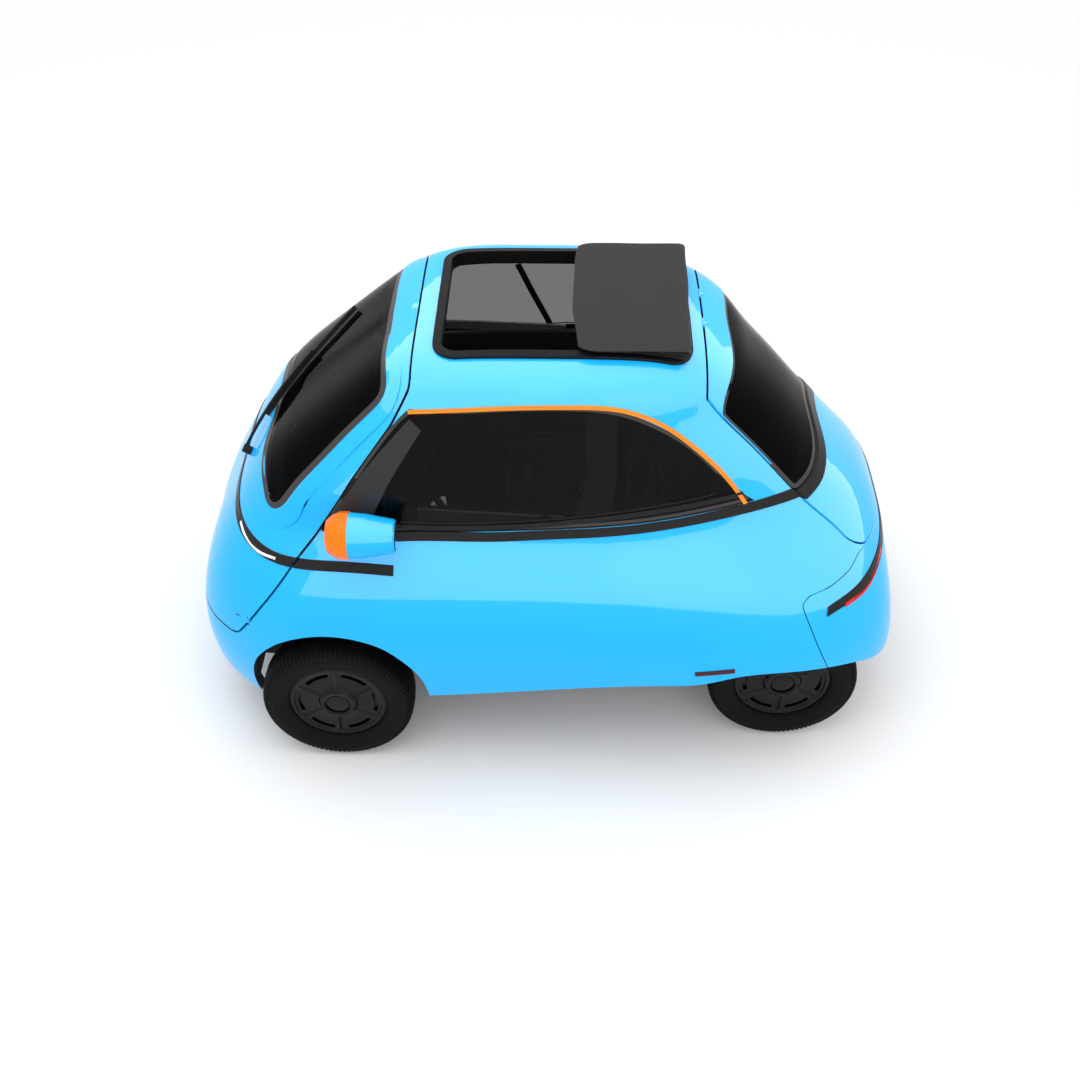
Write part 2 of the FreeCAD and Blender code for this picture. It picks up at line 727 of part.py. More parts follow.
wheel_room = Part.makeCylinder(hub_z + size.wheel_room.value, 1184, vec(axle_r, -592, hub_z), vec(0, 1, 0))
wheel_room = wheel_room.common(skin(-5.0))
tail_shape = tail_shape.cut(wheel_room)
body_shape = body_shape.cut(wheel_room)
keep(feature("tail_panel", solid_of(tail_shape)), "tail_panel")
keep(feature("windscreen", screen), "windscreen")
keep(feature("rear_glass", rear_pane), "rear_glass")
keep(feature("rear_trim", solid_of(rear_trim)), "rear_trim")
keep(feature("side_glass_left", side_pane), "side_glass_left")
keep(feature("side_glass_right", mirror(side_pane)), "side_glass_right")
keep(feature("belt_trims", Part.makeCompound([belt_piece, mirror(belt_piece)])), "belt_trims")
door_bar = solid_of(bar_front_all.common(layer).common(door_block))
keep(feature("light_bar_front", door_bar), "light_bar_front")
side_bar = solid_of(bar_side_all.common(layer).common(side_end(0.0)).cut(door_hole))
keep(feature("light_bars_side", Part.makeCompound([side_bar, mirror(side_bar)])), "light_bars_side")
tail_bar = solid_of(tail_all.common(layer).common(tail_end))
keep(feature("tail_lamps", tail_bar), "tail_lamps")


def surface_x(y, z, offset=0.0, front=True):
    """Where the skin lies at a height and a distance from the middle, ahead or behind."""
    column = 1 if front else 2
    half = smooth(reach[3], z)
    widest = smooth(reach[4], z)
    power = smooth(reach[5], z) if front else smooth(reach[6], z)
    share = max(0.0, 1.0 - (abs(y) / half) ** power) ** (1.0 / power)
    x = widest + (smooth(reach[column], z) - widest) * share
    return x + (offset if front else -offset)


def surface_z(x, y):
    """Height of the roof above a point."""
    bottom_z, top_z = 1200.0, high
    for step in range(40):
        middle = (bottom_z + top_z) / 2
        edge_x = surface_x(y, middle, 0.0, x > 0) if abs(y) < smooth(reach[3], middle) else 0.0
        if (x > 0 and edge_x > x) or (x <= 0 and edge_x < x):
            bottom_z = middle
        else:
            top_z = middle
    return bottom_z


# Raised frame round the roof opening, and the folded roof that rests on its rear half.
frame_skin = skin(size.roof_frame_height.value)
ring = grown(opening_wire, size.roof_frame_width.value).extrude(vec(0, 0, 400)).cut(grown(opening_wire, -6.0).extrude(vec(0, 0, 400)))
liner = ring.common(outer).cut(grown(opening_wire, -fit).extrude(vec(0, 0, 400)).cut(opening)).common(grown(opening_wire, -fit).extrude(vec(0, 0, 400)))
frame_top = ring.common(frame_skin).cut(outer)
keep(feature("sunroof_frame", solid_of(frame_top.fuse(liner.cut(inner)))), "sunroof_frame")
fabric_x0 = rear_x - 26
fabric_x1 = size.fabric_front.value
fabric_y = size.fabric_half.value
top_z = size.fabric_top.value
fabric_wire = rounded([(fabric_x0, -fabric_y), (fabric_x1, -fabric_y), (fabric_x1, fabric_y), (fabric_x0, fabric_y)], [22, 70, 70, 22], "xy", 1380.0)
fabric_seat = skin(size.roof_frame_height.value + fit)
upper = Part.Face(fabric_wire).extrude(vec(0, 0, top_z - 1380.0)).cut(fabric_seat)
lower_wire = rounded([(rear_x + 12, 12 - half_y), (fabric_x1 - 12, 12 - half_y), (fabric_x1 - 12, half_y - 12), (rear_x + 12, half_y - 12)], 48, "xy", 1436.0)
lower = Part.Face(lower_wire).extrude(vec(0, 0, top_z - 10 - 1436.0))
keep(feature("roof_fabric", solid_of(upper.fuse(lower).removeSplitter())), "roof_fabric")

# Hatch hinges: barrels at the level of the skin, in the gap across the roof.
hatch_axis_x = size.hatch_edge_x - size.shut_gap / 2
hatch_axis_z = surface_z(size.hatch_edge_x.value - gap / 2, 0.0)
print("hatch axis", hatch_axis_x.value, hatch_axis_z)

# Wheels.
for name, x, y in (
    ("front_left", size.front_axle_x, size.front_wheel_y),
    ("front_right", size.front_axle_x, -size.front_wheel_y),
    ("rear_left", size.front_axle_x - size.wheelbase, size.rear_wheel_y),
    ("rear_right", size.front_axle_x - size.wheelbase, -size.rear_wheel_y),
):
    axis = "y" if name.endswith("left") else "-y"
    half_tyre = size.tyre_width / 2
    half_rim = size.rim_width / 2
    bead = size.rim_radius + size.seat_clearance
    bead_y = half_rim - 7 - size.seat_clearance
    side = [
        (bead, bead_y), (bead + 10, bead_y + 2), (bead + 22, half_tyre - 9), (size.tyre_radius - 50, half_tyre),
        (size.tyre_radius - 22, half_tyre - 6), (size.tyre_radius - 8, half_tyre - 15), (size.tyre_radius, half_tyre - 27),
    ]
    tyre = revolved("tyre_" + name, side + [(r, -y) for r, y in reversed(side)], axis, x, y, size.tyre_radius)
    keep(tyre, "tyre_" + name)
    face = half_rim - 13
    rim = revolved("rim_" + name, [
        (size.rim_radius + 10, half_rim + 2), (size.rim_radius + 10, half_rim - 5),
        (size.rim_radius, half_rim - 7), (size.rim_radius, 7 - half_rim),
        (size.rim_radius + 10, 5 - half_rim), (size.rim_radius + 10, -half_rim),
        (size.rim_radius - 7, -half_rim), (size.rim_radius - 12, 12 - half_rim),
        (size.rim_radius - 12, face - 20), (size.hub_bore + 40, face - size.disc_thickness),
        (size.hub_bore, face - size.disc_thickness - 12), (size.hub_bore, face - 3),
        (size.hub_bore + 40, face), (size.rim_radius - 20, face), (size.rim_radius - 6, half_rim - 4), (size.rim_radius - 4, half_rim + 2),
    ], axis, x, y, size.tyre_radius)
    keep(rim, "rim_" + name)

# Front knuckles turn with the wheels; arms, struts and beam stay with the car.
mount_plane = half_rim - 13 - size.disc_thickness - 12 - size.seat_clearance
for side, sign in (("left", 1), ("right", -1)):
    axis = "y" if sign > 0 else "-y"
    post = cylinder("post_" + side, "z", size.front_axle_x, sign * size.knuckle_y, size.tyre_radius - 100, 24, 200)
    spindle = cylinder("spindle_" + side, axis, size.front_axle_x, sign * size.knuckle_y, size.tyre_radius, size.axle_radius, size.front_wheel_y + mount_plane - size.knuckle_y + 26)
    flange = cylinder("flange_" + side, axis, size.front_axle_x, sign * (size.front_wheel_y + mount_plane - 12), size.tyre_radius, size.hub_bore + 32, 12)
    keep(fuse("knuckle_" + side, [post, spindle, flange]), "knuckle_" + side)
arm_pieces = []
bracket_y = size.knuckle_y - 190
low_z = size.tyre_radius - 118 - size.seat_clearance
high_z = size.tyre_radius + 100 + size.seat_clearance
for side, sign in (("left", 1), ("right", -1)):
    for level, z0 in (("low", low_z), ("high", high_z)):
        y0, y1 = (bracket_y, size.knuckle_y + 20) if sign > 0 else (-(size.knuckle_y + 20), -bracket_y)
        arm_pieces.append(box("arm_%s_%s" % (level, side), size.front_axle_x - 22, size.front_axle_x + 22, y0, y1, z0, z0 + 18))
    y0, y1 = (bracket_y, bracket_y + 16) if sign > 0 else (-(bracket_y + 16), -bracket_y)
    arm_pieces.append(box("bracket_" + side, size.front_axle_x - 34, size.front_axle_x + 34, y0, y1, low_z, high_z + 24))
    arm_pieces.append(cylinder("strut_" + side, "z", size.front_axle_x, sign * (size.knuckle_y - 90), size.tyre_radius - 110, 26, size.arch_top - size.tyre_radius + 110 - 30))
arm_pieces.append(box("front_beam", size.front_axle_x - 60, size.front_axle_x + 60, -(bracket_y + 8), bracket_y + 8, low_z, size.floor_top - size.floor_thickness - size.seat_clearance))
keep(fuse("front_axle", arm_pieces), "front_axle")

deck_x = -size_of(555)

# Rear axle: two half shafts with hub flanges and trailing arms; the motor is a closed block.
rear_x_axle = size.front_axle_x - size.wheelbase
motor_half = 150
rear_pieces = []
for side, sign in (("left", 1), ("right", -1)):
    axis = "y" if sign > 0 else "-y"
    reach_y = size.rear_wheel_y + mount_plane
    rear_pieces.append(cylinder("half_shaft_" + side, axis, rear_x_axle, sign * (motor_half + size.seat_clearance), size.tyre_radius, size.axle_radius - 4, reach_y - motor_half - size.seat_clearance + 26))
    rear_pieces.append(cylinder("rear_flange_" + side, axis, rear_x_axle, sign * (reach_y - 12), size.tyre_radius, size.hub_bore + 32, 12))
    inner_y = size.rear_wheel_y - size.tyre_width / 2 - 62
    y0, y1 = (inner_y, inner_y + 34) if sign > 0 else (-(inner_y + 34), -inner_y)
    rear_pieces.append(box("trailing_arm_" + side, rear_x_axle - 45, deck_x - size.seat_clearance, y0, y1, size.tyre_radius - 30, size.tyre_radius + 26))
rear_pieces.append(box("cross_tube", rear_x_axle + 190, rear_x_axle + 226, -(size.rear_wheel_y - size.tyre_width / 2 - 50), size.rear_wheel_y - size.tyre_width / 2 - 50, size.tyre_radius - 24, size.tyre_radius + 16))
keep(fuse("rear_axle", rear_pieces), "rear_axle")
keep(box("motor_block", rear_x_axle - 130, rear_x_axle + 150, -size_of(motor_half), motor_half, size.tyre_radius - 90, size.tyre_radius + 150), "motor_block")

# Floor, bulkhead and luggage deck in one folded section, cut to the inside of the body.
floor_z1 = size.floor_top.value
floor_z0 = floor_z1 - size.floor_thickness.value
deck_z1 = 578.0
deck_x = deck_x.value
inside = skin(-(wall + fit), 20, inner_steps)
middle_half = size.rear_wheel_y.value - size.tyre_width.value / 2 - 24
section = prism_y([(1180, floor_z0), (1180, floor_z1), (deck_x + 20, floor_z1), (deck_x + 20, deck_z1), (-1240, deck_z1), (-1240, deck_z1 - 18), (deck_x, deck_z1 - 18), (deck_x, floor_z0)])
rise = [(424, sill + 16), (250, sill + 35), (40, sill + 63), (-180, sill + 88), (-400, sill + 105), (deck_x, sill + 132)]
flank = [(x, z + 24) for x, z in rise[:-1]] + [(deck_x + 20, rise[-1][1] + 20), (deck_x + 20, deck_z1), (deck_x, deck_z1)] + list(reversed(rise))
side_floor = prism_y(flank).common(inside)
cheeks = prism_y([(424, floor_z0)] + flank[:5] + [(deck_x + 20, rise[-1][1] + 20), (deck_x + 20, floor_z0)])
middle = Part.makeBox(3000, 2 * middle_half, 700, vec(-1500, -middle_half, 0))
narrow = Part.makeBox(3000, 2 * middle_half - 24, 700, vec(-1500, 12 - middle_half, 0))
behind = Part.makeBox(700, 2000, 310, vec(deck_x - 5, -1000, 140)).fuse(Part.makeBox(430 - deck_x, 2000, 600, vec(deck_x, -1000, 0)))
flat = section.common(inside)
flat = flat.cut(behind.cut(middle))
floor_shape = flat.fuse([side_floor.cut(middle), cheeks.common(middle).cut(narrow)])
deck = section.common(inside).common(Part.makeBox(1400, 2000, 40, vec(-1400, -1000, deck_z1 - 18)))
floor_shape = floor_shape.fuse(deck)
wheel_y0 = size.knuckle_y.value - 160.0
house_room = 12.0
liner_t = 4.0
for sign in (1, -1):
    floor_shape = floor_shape.cut(arch_block(house_room + fit, *sorted((sign * (wheel_y0 - fit), sign * 900))))
    y0, y1 = sorted((sign * (bracket_y.value - fit), sign * 900))
    floor_shape = floor_shape.cut(Part.makeBox(140, y1 - y0, 200, vec(axle_f - 70, y0, 180)))
pads = []
for x in (330, -470):
    for sign in (1, -1):
        y0 = middle_half - 80 if sign > 0 else -middle_half
        pads.append(Part.makeBox(90, 80, 8, vec(x - 45, y0, floor_z0 - 8)))
floor_shape = floor_shape.fuse(pads)
keep(feature("floor_pan", solid_of(floor_shape)), "floor_pan")

# Wheel houses: a rolled shell over each front wheel with an inner wall, and plates inboard of the rear wheels.
houses = []
for sign in (1, -1):
    drum = arch_block(house_room, *sorted((sign * wheel_y0, sign * 800)))
    hollow = arch_block(house_room - liner_t, *sorted((sign * (wheel_y0 + liner_t), sign * 800)))
    shell_piece = drum.cut(hollow).common(inside)
    y0 = min(sign * (wheel_y0 - 10), sign * (wheel_y0 + 30))
    shell_piece = shell_piece.cut(Part.makeBox(130, 40, 330, vec(axle_f - 65, y0, 100)))
    shell_piece = shell_piece.cut(prism_y([(-1500, floor_z0), (1500, floor_z0), (1500, -100), (-1500, -100)]))
    houses.append(solid_of(shell_piece.cut(below)))
    inner_y = size.rear_wheel_y.value - size.tyre_width.value / 2 - 18
    y0 = min(sign * inner_y, sign * (inner_y + liner_t))
    plate = Part.makeBox(deck_x - fit - axle_r + 275, liner_t, deck_z1 - 18 - fit - 215, vec(axle_r - 275, y0, 215))
    window = Part.makeCylinder(70, 60, vec(axle_r, y0 - 20, hub_z), vec(0, 1, 0))
    houses.append(plate.cut(window))
keep(feature("wheel_liners", Part.makeCompound(houses)), "wheel_liners")

# Bench seat on a box that covers the battery.
seat_z = size.seat_height - size.cushion_thickness / 2
box_half = size.rear_wheel_y - size.tyre_width / 2 - 40
seat_box = box("seat_box", size.seat_rear_x, size.seat_front_x - 30, -box_half, box_half, size.floor_top + size.seat_clearance, seat_z)
seat_room = box("seat_room", size.seat_rear_x - 5, size.seat_front_x - 30 - 14, 14 - box_half, box_half - 14, size.floor_top - 5, seat_z - 14)
seat_top = box("seat_top", size.seat_rear_x - 60, size.seat_front_x - 30, 10 - size.seat_half, size.seat_half - 10, seat_z - 14, seat_z)
keep(fuse("seat_base", [cut("seat_pedestal", seat_box, seat_room), seat_top]), "seat_base")
keep(box("battery_block", size.seat_rear_x + 40, size.seat_front_x - 80, 60 - box_half, box_half - 60, size.floor_top + size.seat_clearance, seat_z - 40), "battery_block")


def padded_block(name, profile, half, round_edge):
    """A soft piece: a side profile padded across the car with rounded edges."""
    body = doc.addObject("PartDesign::Body", name)
    sketch = body.newObject("Sketcher::SketchObject", name + "_side")
    planes = [o for o in body.Origin.OriginFeatures if o.Role == "XZ_Plane"]
    sketch.AttachmentSupport = [(planes[0], "")]
    sketch.MapMode = "FlatFace"
    corners = [(size_of(x), size_of(z)) for x, z in profile]
    count = len(corners)
    for i in range(count):
        p, q = corners[i], corners[(i + 1) % count]
        sketch.addGeometry(Part.LineSegment(vec(p[0].value, p[1].value, 0), vec(q[0].value, q[1].value, 0)), False)
    for i in range(count):
        sketch.addConstraint(Sketcher.Constraint("Coincident", i, 2, (i + 1) % count, 1))
    for i in range(count):
        x, z = corners[i]
        index = sketch.addConstraint(Sketcher.Constraint("DistanceX", -1, 1, i, 1, x.value))
        sketch.setExpression("Constraints[%d]" % index, x.text)
        index = sketch.addConstraint(Sketcher.Constraint("DistanceY", -1, 1, i, 1, z.value))
        sketch.setExpression("Constraints[%d]" % index, z.text)
    pad = body.newObject("PartDesign::Pad", name + "_pad")
    pad.Profile = sketch
    pad.Midplane = True
    pad.setExpression("Length", (size_of(half) * 2).text)
    doc.recompute()
    soft = body.newObject("PartDesign::Fillet", name + "_edges")
    soft.Base = (pad, ["Edge%d" % (i + 1) for i in range(len(pad.Shape.Edges))])
    soft.setExpression("Radius", size_of(round_edge).text)
    body.Tip = soft
    return body


seat_y = size.seat_half - 8
cushion = padded_block("seat_cushion", [
    (size.seat_rear_x + 40, seat_z + size.seat_clearance), (size.seat_front_x, seat_z + size.seat_clearance),
    (size.seat_front_x + 14, seat_z + size.cushion_thickness), (size.seat_rear_x + 60, seat_z + size.cushion_thickness - 16),
], seat_y, 26)
keep(cushion, "seat_cushion")
lean_x = size.back_height * 0.28
back = padded_block("seat_back", [
    (size.seat_rear_x + 38, seat_z + size.seat_clearance), (size.seat_rear_x + 58 - lean_x, seat_z + size.back_height),
    (size.seat_rear_x + 48 - size.back_thickness - lean_x, seat_z + size.back_height - 30),
    (size.seat_rear_x + 34 - size.back_thickness, seat_z + size.seat_clearance),
], size.back_half, 26)
keep(back, "seat_back")

# Steering column on an upright, with the wheel at its upper end.
tilt = math.radians(size.column_angle.value)
hub = vec(size.wheel_x.value, size.wheel_y.value, size.wheel_z.value)
toward = vec(-math.cos(tilt), 0, math.sin(tilt))
post_x = size.post_x.value
drop = (post_x - hub.x) / math.cos(tilt)
foot = hub - toward * drop
column = Part.makeCylinder(size.column_radius.value, drop - 34, foot, toward)
upright = Part.makeCylinder(size.column_radius.value + 4, foot.z + 26 - floor_z1 - fit, vec(foot.x, foot.y, floor_z1 + fit), vec(0, 0, 1))
plate = Part.makeBox(130, 110, 10, vec(foot.x - 65, foot.y - 55, floor_z1 + fit))
cowl_r = 44.0
cowl = Part.makeCylinder(cowl_r, 150, hub - toward * 190, toward)
keep(feature("steering_column", column.fuse([upright, plate, cowl]).removeSplitter()), "steering_column")

rim_r = size.wheel_rim_radius.value
grip = size.wheel_grip.value
hoop = Part.makeTorus(rim_r, grip, vec(0, 0, 14), vec(0, 0, 1))
boss = Part.makeCylinder(52, 40, vec(0, 0, -22), vec(0, 0, 1))
spokes = []
for angle in (0, 180, 270):
    spoke = Part.makeBox(rim_r - 30, 34, 12, vec(30, -17, 0))
    spoke.rotate(vec(0, 0, 0), vec(0, 0, 1), angle)
    spokes.append(spoke)
stub = Part.makeCylinder(14, 20, vec(0, 0, -33.7), vec(0, 0, 1))
wheel_shape = hoop.fuse([boss, stub] + spokes)
wheel_shape = wheel_shape.removeSplitter()
turned = FreeCAD.Rotation(vec(0, 0, 1), toward)
wheel_obj = doc.addObject("Part::Feature", "steering_wheel")
wheel_obj.Shape = wheel_shape
wheel_obj.Placement = FreeCAD.Placement(hub, turned)
keep(wheel_obj, "steering_wheel")
screen_pod = Part.makeBox(26, 250, 96, vec(0, -125, 0))
screen_pod = screen_pod.makeFillet(9, screen_pod.Edges)
screen_pod = screen_pod.fuse(Part.makeCylinder(12, 34, vec(13, 0, -30), vec(0, 0, 1)))
pod_base = hub - toward * 150
screen_pod.Placement = FreeCAD.Placement(vec(pod_base.x - 6, pod_base.y, pod_base.z + 62), FreeCAD.Rotation(vec(0, 1, 0), -14))
cowl_room = Part.makeCylinder(cowl_r + fit, 170, hub - toward * 200, toward)
keep(feature("instrument_pod", solid_of(screen_pod.cut(cowl_room))), "instrument_pod")

# Shelf across the inside of the door.
shelf = inside.cut(skin(-(wall + fit + 70), 20, [180, 450, 780, 1060, 1350, 1490]))
shelf = shelf.common(prism_y([(860, 792), (1400, 792), (1400, 840), (860, 840)]))
keep(feature("door_shelf", solid_of(shelf.common(door_block))), "door_shelf")

# Lamp pods beside the pillars: housing with a mirror at its rear, a ring and a lens in front.
pod_rings = []
mirrors = []
for side, sign in (("left", 1), ("right", -1)):
    tail_r = size.pod_tail_radius
    front_r = size.pod_radius
    housing = revolved("pod_housing_" + side, [
        (0, 0), (front_r - 2, 0), (front_r + 1, -size.pod_length * 0.12), (front_r - 3, -size.pod_length * 0.45),
        (tail_r + 2, -size.pod_length * 0.97), (tail_r - 4, -size.pod_length), (0, -size.pod_length),
    ], "x", size.pod_x, sign * size.pod_y, size.pod_z)
    doc.recompute()
    y_in = size.pod_y.value - 58
    foot_points = [(560, 946), (640, 946), (632, 986), (575, 986)]
    stalk = prism_y(foot_points, size.pod_y.value - 30, 520.0)
    if sign < 0:
        stalk = mirror(stalk)
    stalk = stalk.cut(skin(fit + size.trim_proud.value))
    keep(feature("pod_" + side, solid_of(housing.Shape.fuse(stalk))), "pod_" + side)
    pod_rings.append(revolved("pod_ring_" + side, [
        (front_r - 14, size.seat_clearance), (front_r, size.seat_clearance), (front_r + 2, size.pod_ring_length * 0.3),
        (front_r - 1, size.pod_ring_length), (front_r - 8, size.pod_ring_length), (front_r - 14, size.pod_ring_length - 8),
    ], "x", size.pod_x, sign * size.pod_y, size.pod_z))
    pod_rings.append(revolved("pod_lens_" + side, [
        (0, size.seat_clearance), (front_r - 14.3, size.seat_clearance), (front_r - 14.3, size.pod_ring_length - 10),
        (front_r - 40, size.pod_ring_length + 2), (0, size.pod_ring_length + 8),
    ], "x", size.pod_x, sign * size.pod_y, size.pod_z))
    mirrors.append(cylinder("mirror_glass_" + side, "x", size.pod_x - size.pod_length - size.seat_clearance - 3, sign * size.pod_y, size.pod_z, tail_r - 6, 3))
compound = doc.addObject("Part::Compound", "pod_lamps")
compound.Links = pod_rings
keep(compound, "pod_lamps")
compound = doc.addObject("Part::Compound", "mirror_glasses")
compound.Links = mirrors
keep(compound, "mirror_glasses")

# Wiper, standing clear of the screen.


def strip_on_screen(path, width, thick, lift_off):
    """A flat strip that follows the skin ahead of it, through (y, z) points."""
    wires = []
    for i, (y, z) in enumerate(path):
        x = surface_x(y, z, 0.0)
        up = vec(surface_x(y, z + 5) - x, 0, 5).normalize()
        across = vec(surface_x(y + 5, z) - x, 5, 0).normalize()
        outwards = across.cross(up).normalize()
        if outwards.x < 0:
            outwards = outwards * -1
        after = path[min(i + 1, len(path) - 1)]
        before = path[max(i - 1, 0)]
        along = vec(surface_x(*after) - surface_x(*before), after[0] - before[0], after[1] - before[1]).normalize()
        side = along.cross(outwards).normalize() * (width / 2.0)
        base = vec(x, y, z) + outwards * lift_off
        corners = [base - side, base + side, base + side + outwards * thick, base - side + outwards * thick]
        wires.append(Part.makePolygon(corners + [corners[0]]))
    return Part.makeLoft(wires, True, False)


pivot = (150.0, 962.0)
wiper_arm = strip_on_screen([pivot, (80, 1030), (-30, 1120), (-110, 1190)], 16, 9, 18)
wiper_blade = strip_on_screen([(60, 1045), (-30, 1115), (-130, 1200), (-230, 1300)], 12, 15, 3)
x = surface_x(pivot[0], pivot[1])
normal = vec(1, 0, 0.62).normalize()
cap = Part.makeCylinder(15, 30, vec(x, pivot[0], pivot[1]) - normal * 0, normal)
wiper_shape = wiper_arm.fuse([wiper_blade, cap]).cut(skin(0.8))
keep(feature("wiper", solid_of(wiper_shape)), "wiper")

# Side markers low on the flanks.
keep(feature("side_markers", Part.makeCompound([marker, mirror(marker)])), "side_markers")

# Hinges. The door turns on an upright pin in lugs of the body; the hatch turns on short
# barrels that lie in the gap across the roof at the level of the skin.
hinge_x = size.door_hinge_x.value
hinge_y = size.door_hinge_y.value
pin_r = size.pin_radius.value
play = size.pin_clearance.value
lug_r = pin_r + 2
hinge_z = 590.0
knuckle_half = 9.0
lug_low, lug_high = hinge_z - 46, hinge_z + 16


def upright_cylinder(radius, z0, z1):
    return Part.makeCylinder(radius, z1 - z0, vec(hinge_x, hinge_y, z0), vec(0, 0, 1))


def hinge_box(x0, x1, y0, y1, z0, z1):
    """A box given from the hinge axis of the door."""
    return Part.makeBox(x1 - x0, y1 - y0, z1 - z0, vec(hinge_x + x0, hinge_y + y0, z0))


under_skin = skin(-1.2)
room = upright_cylinder(lug_r + 0.8, lug_low - 2, lug_high + 3)
door_relief = upright_cylinder(48, hinge_z + knuckle_half - 3, lug_high + 6)
door_relief = door_relief.common(hinge_box(-60, lug_r + 3, -60, 60, hinge_z, lug_high + 6)).common(under_skin)
body_relief = upright_cylinder(64, hinge_z - knuckle_half - 3, hinge_z + knuckle_half + 3)
body_relief = body_relief.common(hinge_box(-lug_r - 3, 80, -60, lug_r + 5.6, hinge_z - 20, hinge_z + 20))
door_shape = door_shape.cut(room).cut(door_relief)
body_shape = body_shape.cut(room).cut(body_relief)
lugs = []
for z0, z1 in ((lug_low, hinge_z - knuckle_half - 0.5), (hinge_z + knuckle_half + 0.5, lug_high)):
    lugs += [
        upright_cylinder(lug_r, z0, z1), hinge_box(-lug_r + 1, lug_r - 1, -42, 0, z0, z1),
        hinge_box(-58, lug_r - 1, -42, -22, z0, z1),
    ]
body_shape = body_shape.fuse(lugs).cut(upright_cylinder(pin_r + fit, lug_low - 4, lug_high + 6))
knuckle = upright_cylinder(lug_r, hinge_z - knuckle_half, hinge_z + knuckle_half)
arm = Part.makeBox(54, 2 * lug_r - 2, 2 * knuckle_half, vec(0, 1 - lug_r, 0))
arm.rotate(vec(0, 0, 0), vec(0, 0, 1), -25)
arm.translate(vec(hinge_x, hinge_y, hinge_z - knuckle_half))
door_shape = door_shape.fuse([knuckle, arm]).cut(upright_cylinder(pin_r + play, lug_low - 4, lug_high + 6))
hinge_pins = [upright_cylinder(pin_r, lug_low, lug_high + 2)]

barrel_x = size.hatch_edge_x.value - gap / 2
barrel_z = hatch_axis_z
barrel_r = size.knuckle_radius.value
hatch_pin_r = 1.6


def barrel(y0, y1, radius):
    return Part.makeCylinder(radius, y1 - y0, vec(barrel_x, y0, barrel_z), vec(0, 1, 0))


for middle_y in (size.hinge_spacing.value / 2, -size.hinge_spacing.value / 2):
    room = barrel(middle_y - 25, middle_y + 25, barrel_r + 0.7)
    body_shape = body_shape.cut(room)
    hatch_shape = hatch_shape.cut(room)
    for y0, y1 in ((middle_y - 24, middle_y - 8.3), (middle_y + 8.3, middle_y + 24)):
        web = Part.makeBox(12, y1 - y0, 9, vec(barrel_x, y0, barrel_z - 9.5))
        body_shape = body_shape.fuse([barrel(y0, y1, barrel_r), web])
    web = Part.makeBox(12, 15.4, 9, vec(barrel_x - 12, middle_y - 7.7, barrel_z - 9.5))
    hatch_shape = hatch_shape.fuse([barrel(middle_y - 7.7, middle_y + 7.7, barrel_r), web])
    body_shape = body_shape.cut(barrel(middle_y - 26, middle_y + 26, hatch_pin_r + fit))
    hatch_shape = hatch_shape.cut(barrel(middle_y - 26, middle_y + 26, hatch_pin_r + play))
    hinge_pins.append(barrel(middle_y - 24, middle_y + 24, hatch_pin_r))
keep(feature("hinge_pins", Part.makeCompound(hinge_pins)), "hinge_pins")
keep(feature("body_shell", solid_of(body_shape)), "body_shell")
keep(feature("front_door", solid_of(door_shape)), "front_door")
keep(feature("hatch", solid_of(hatch_shape)), "hatch")

doc.recompute()
os.makedirs("parts", exist_ok=True)
for obj in doc.Objects:
    if "Invalid" in obj.State or "Error" in obj.State:
        raise RuntimeError("failed object: " + obj.Name)
for obj in parts:
    if obj.Shape.isNull() or not obj.Shape.isValid():
        raise RuntimeError("bad shape: " + obj.Label)
for obj in parts:
    obj.Shape.exportStep("parts/%s.step" % obj.Label)
    print(obj.Label, len(obj.Shape.Solids), round(obj.Shape.Volume / 1000.0, 1), obj.Shape.BoundBox)
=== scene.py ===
import bpy
import json
import math
from mathutils import Matrix, Vector
from mathutils.bvhtree import BVHTree


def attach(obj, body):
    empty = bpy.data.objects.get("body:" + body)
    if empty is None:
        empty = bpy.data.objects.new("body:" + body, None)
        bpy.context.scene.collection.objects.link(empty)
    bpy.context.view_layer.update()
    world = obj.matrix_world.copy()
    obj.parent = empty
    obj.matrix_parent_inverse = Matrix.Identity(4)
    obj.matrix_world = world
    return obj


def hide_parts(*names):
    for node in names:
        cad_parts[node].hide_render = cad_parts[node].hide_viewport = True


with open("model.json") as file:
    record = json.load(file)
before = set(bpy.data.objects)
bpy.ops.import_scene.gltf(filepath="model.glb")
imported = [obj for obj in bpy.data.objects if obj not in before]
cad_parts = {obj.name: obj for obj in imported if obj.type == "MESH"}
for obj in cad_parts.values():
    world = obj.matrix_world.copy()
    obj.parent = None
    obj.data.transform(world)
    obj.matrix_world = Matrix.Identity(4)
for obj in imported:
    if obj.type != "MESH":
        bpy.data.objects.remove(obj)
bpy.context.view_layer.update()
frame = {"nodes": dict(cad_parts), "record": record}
scene = bpy.context.scene
nodes = frame["nodes"]
print("stage: frame loaded")


def linearColour(code):
    values = []
    for i in (0, 2, 4):
        c = int(code[i:i + 2], 16) / 255
        values.append(c / 12.92 if c <= 0.04045 else ((c + 0.055) / 1.055) ** 2.4)
    return (*values, 1.0)


def addNode(material, kind, settings=None, links=None):
    tree = material.node_tree
    node = tree.nodes.new(kind)
    for name, value in (settings or {}).items():
        if isinstance(name, int) or name in node.inputs:
            node.inputs[name].default_value = value
        else:
            setattr(node, name, value)
    for name, socket in (links or {}).items():
        tree.links.new(socket, node.inputs[name])
    return node


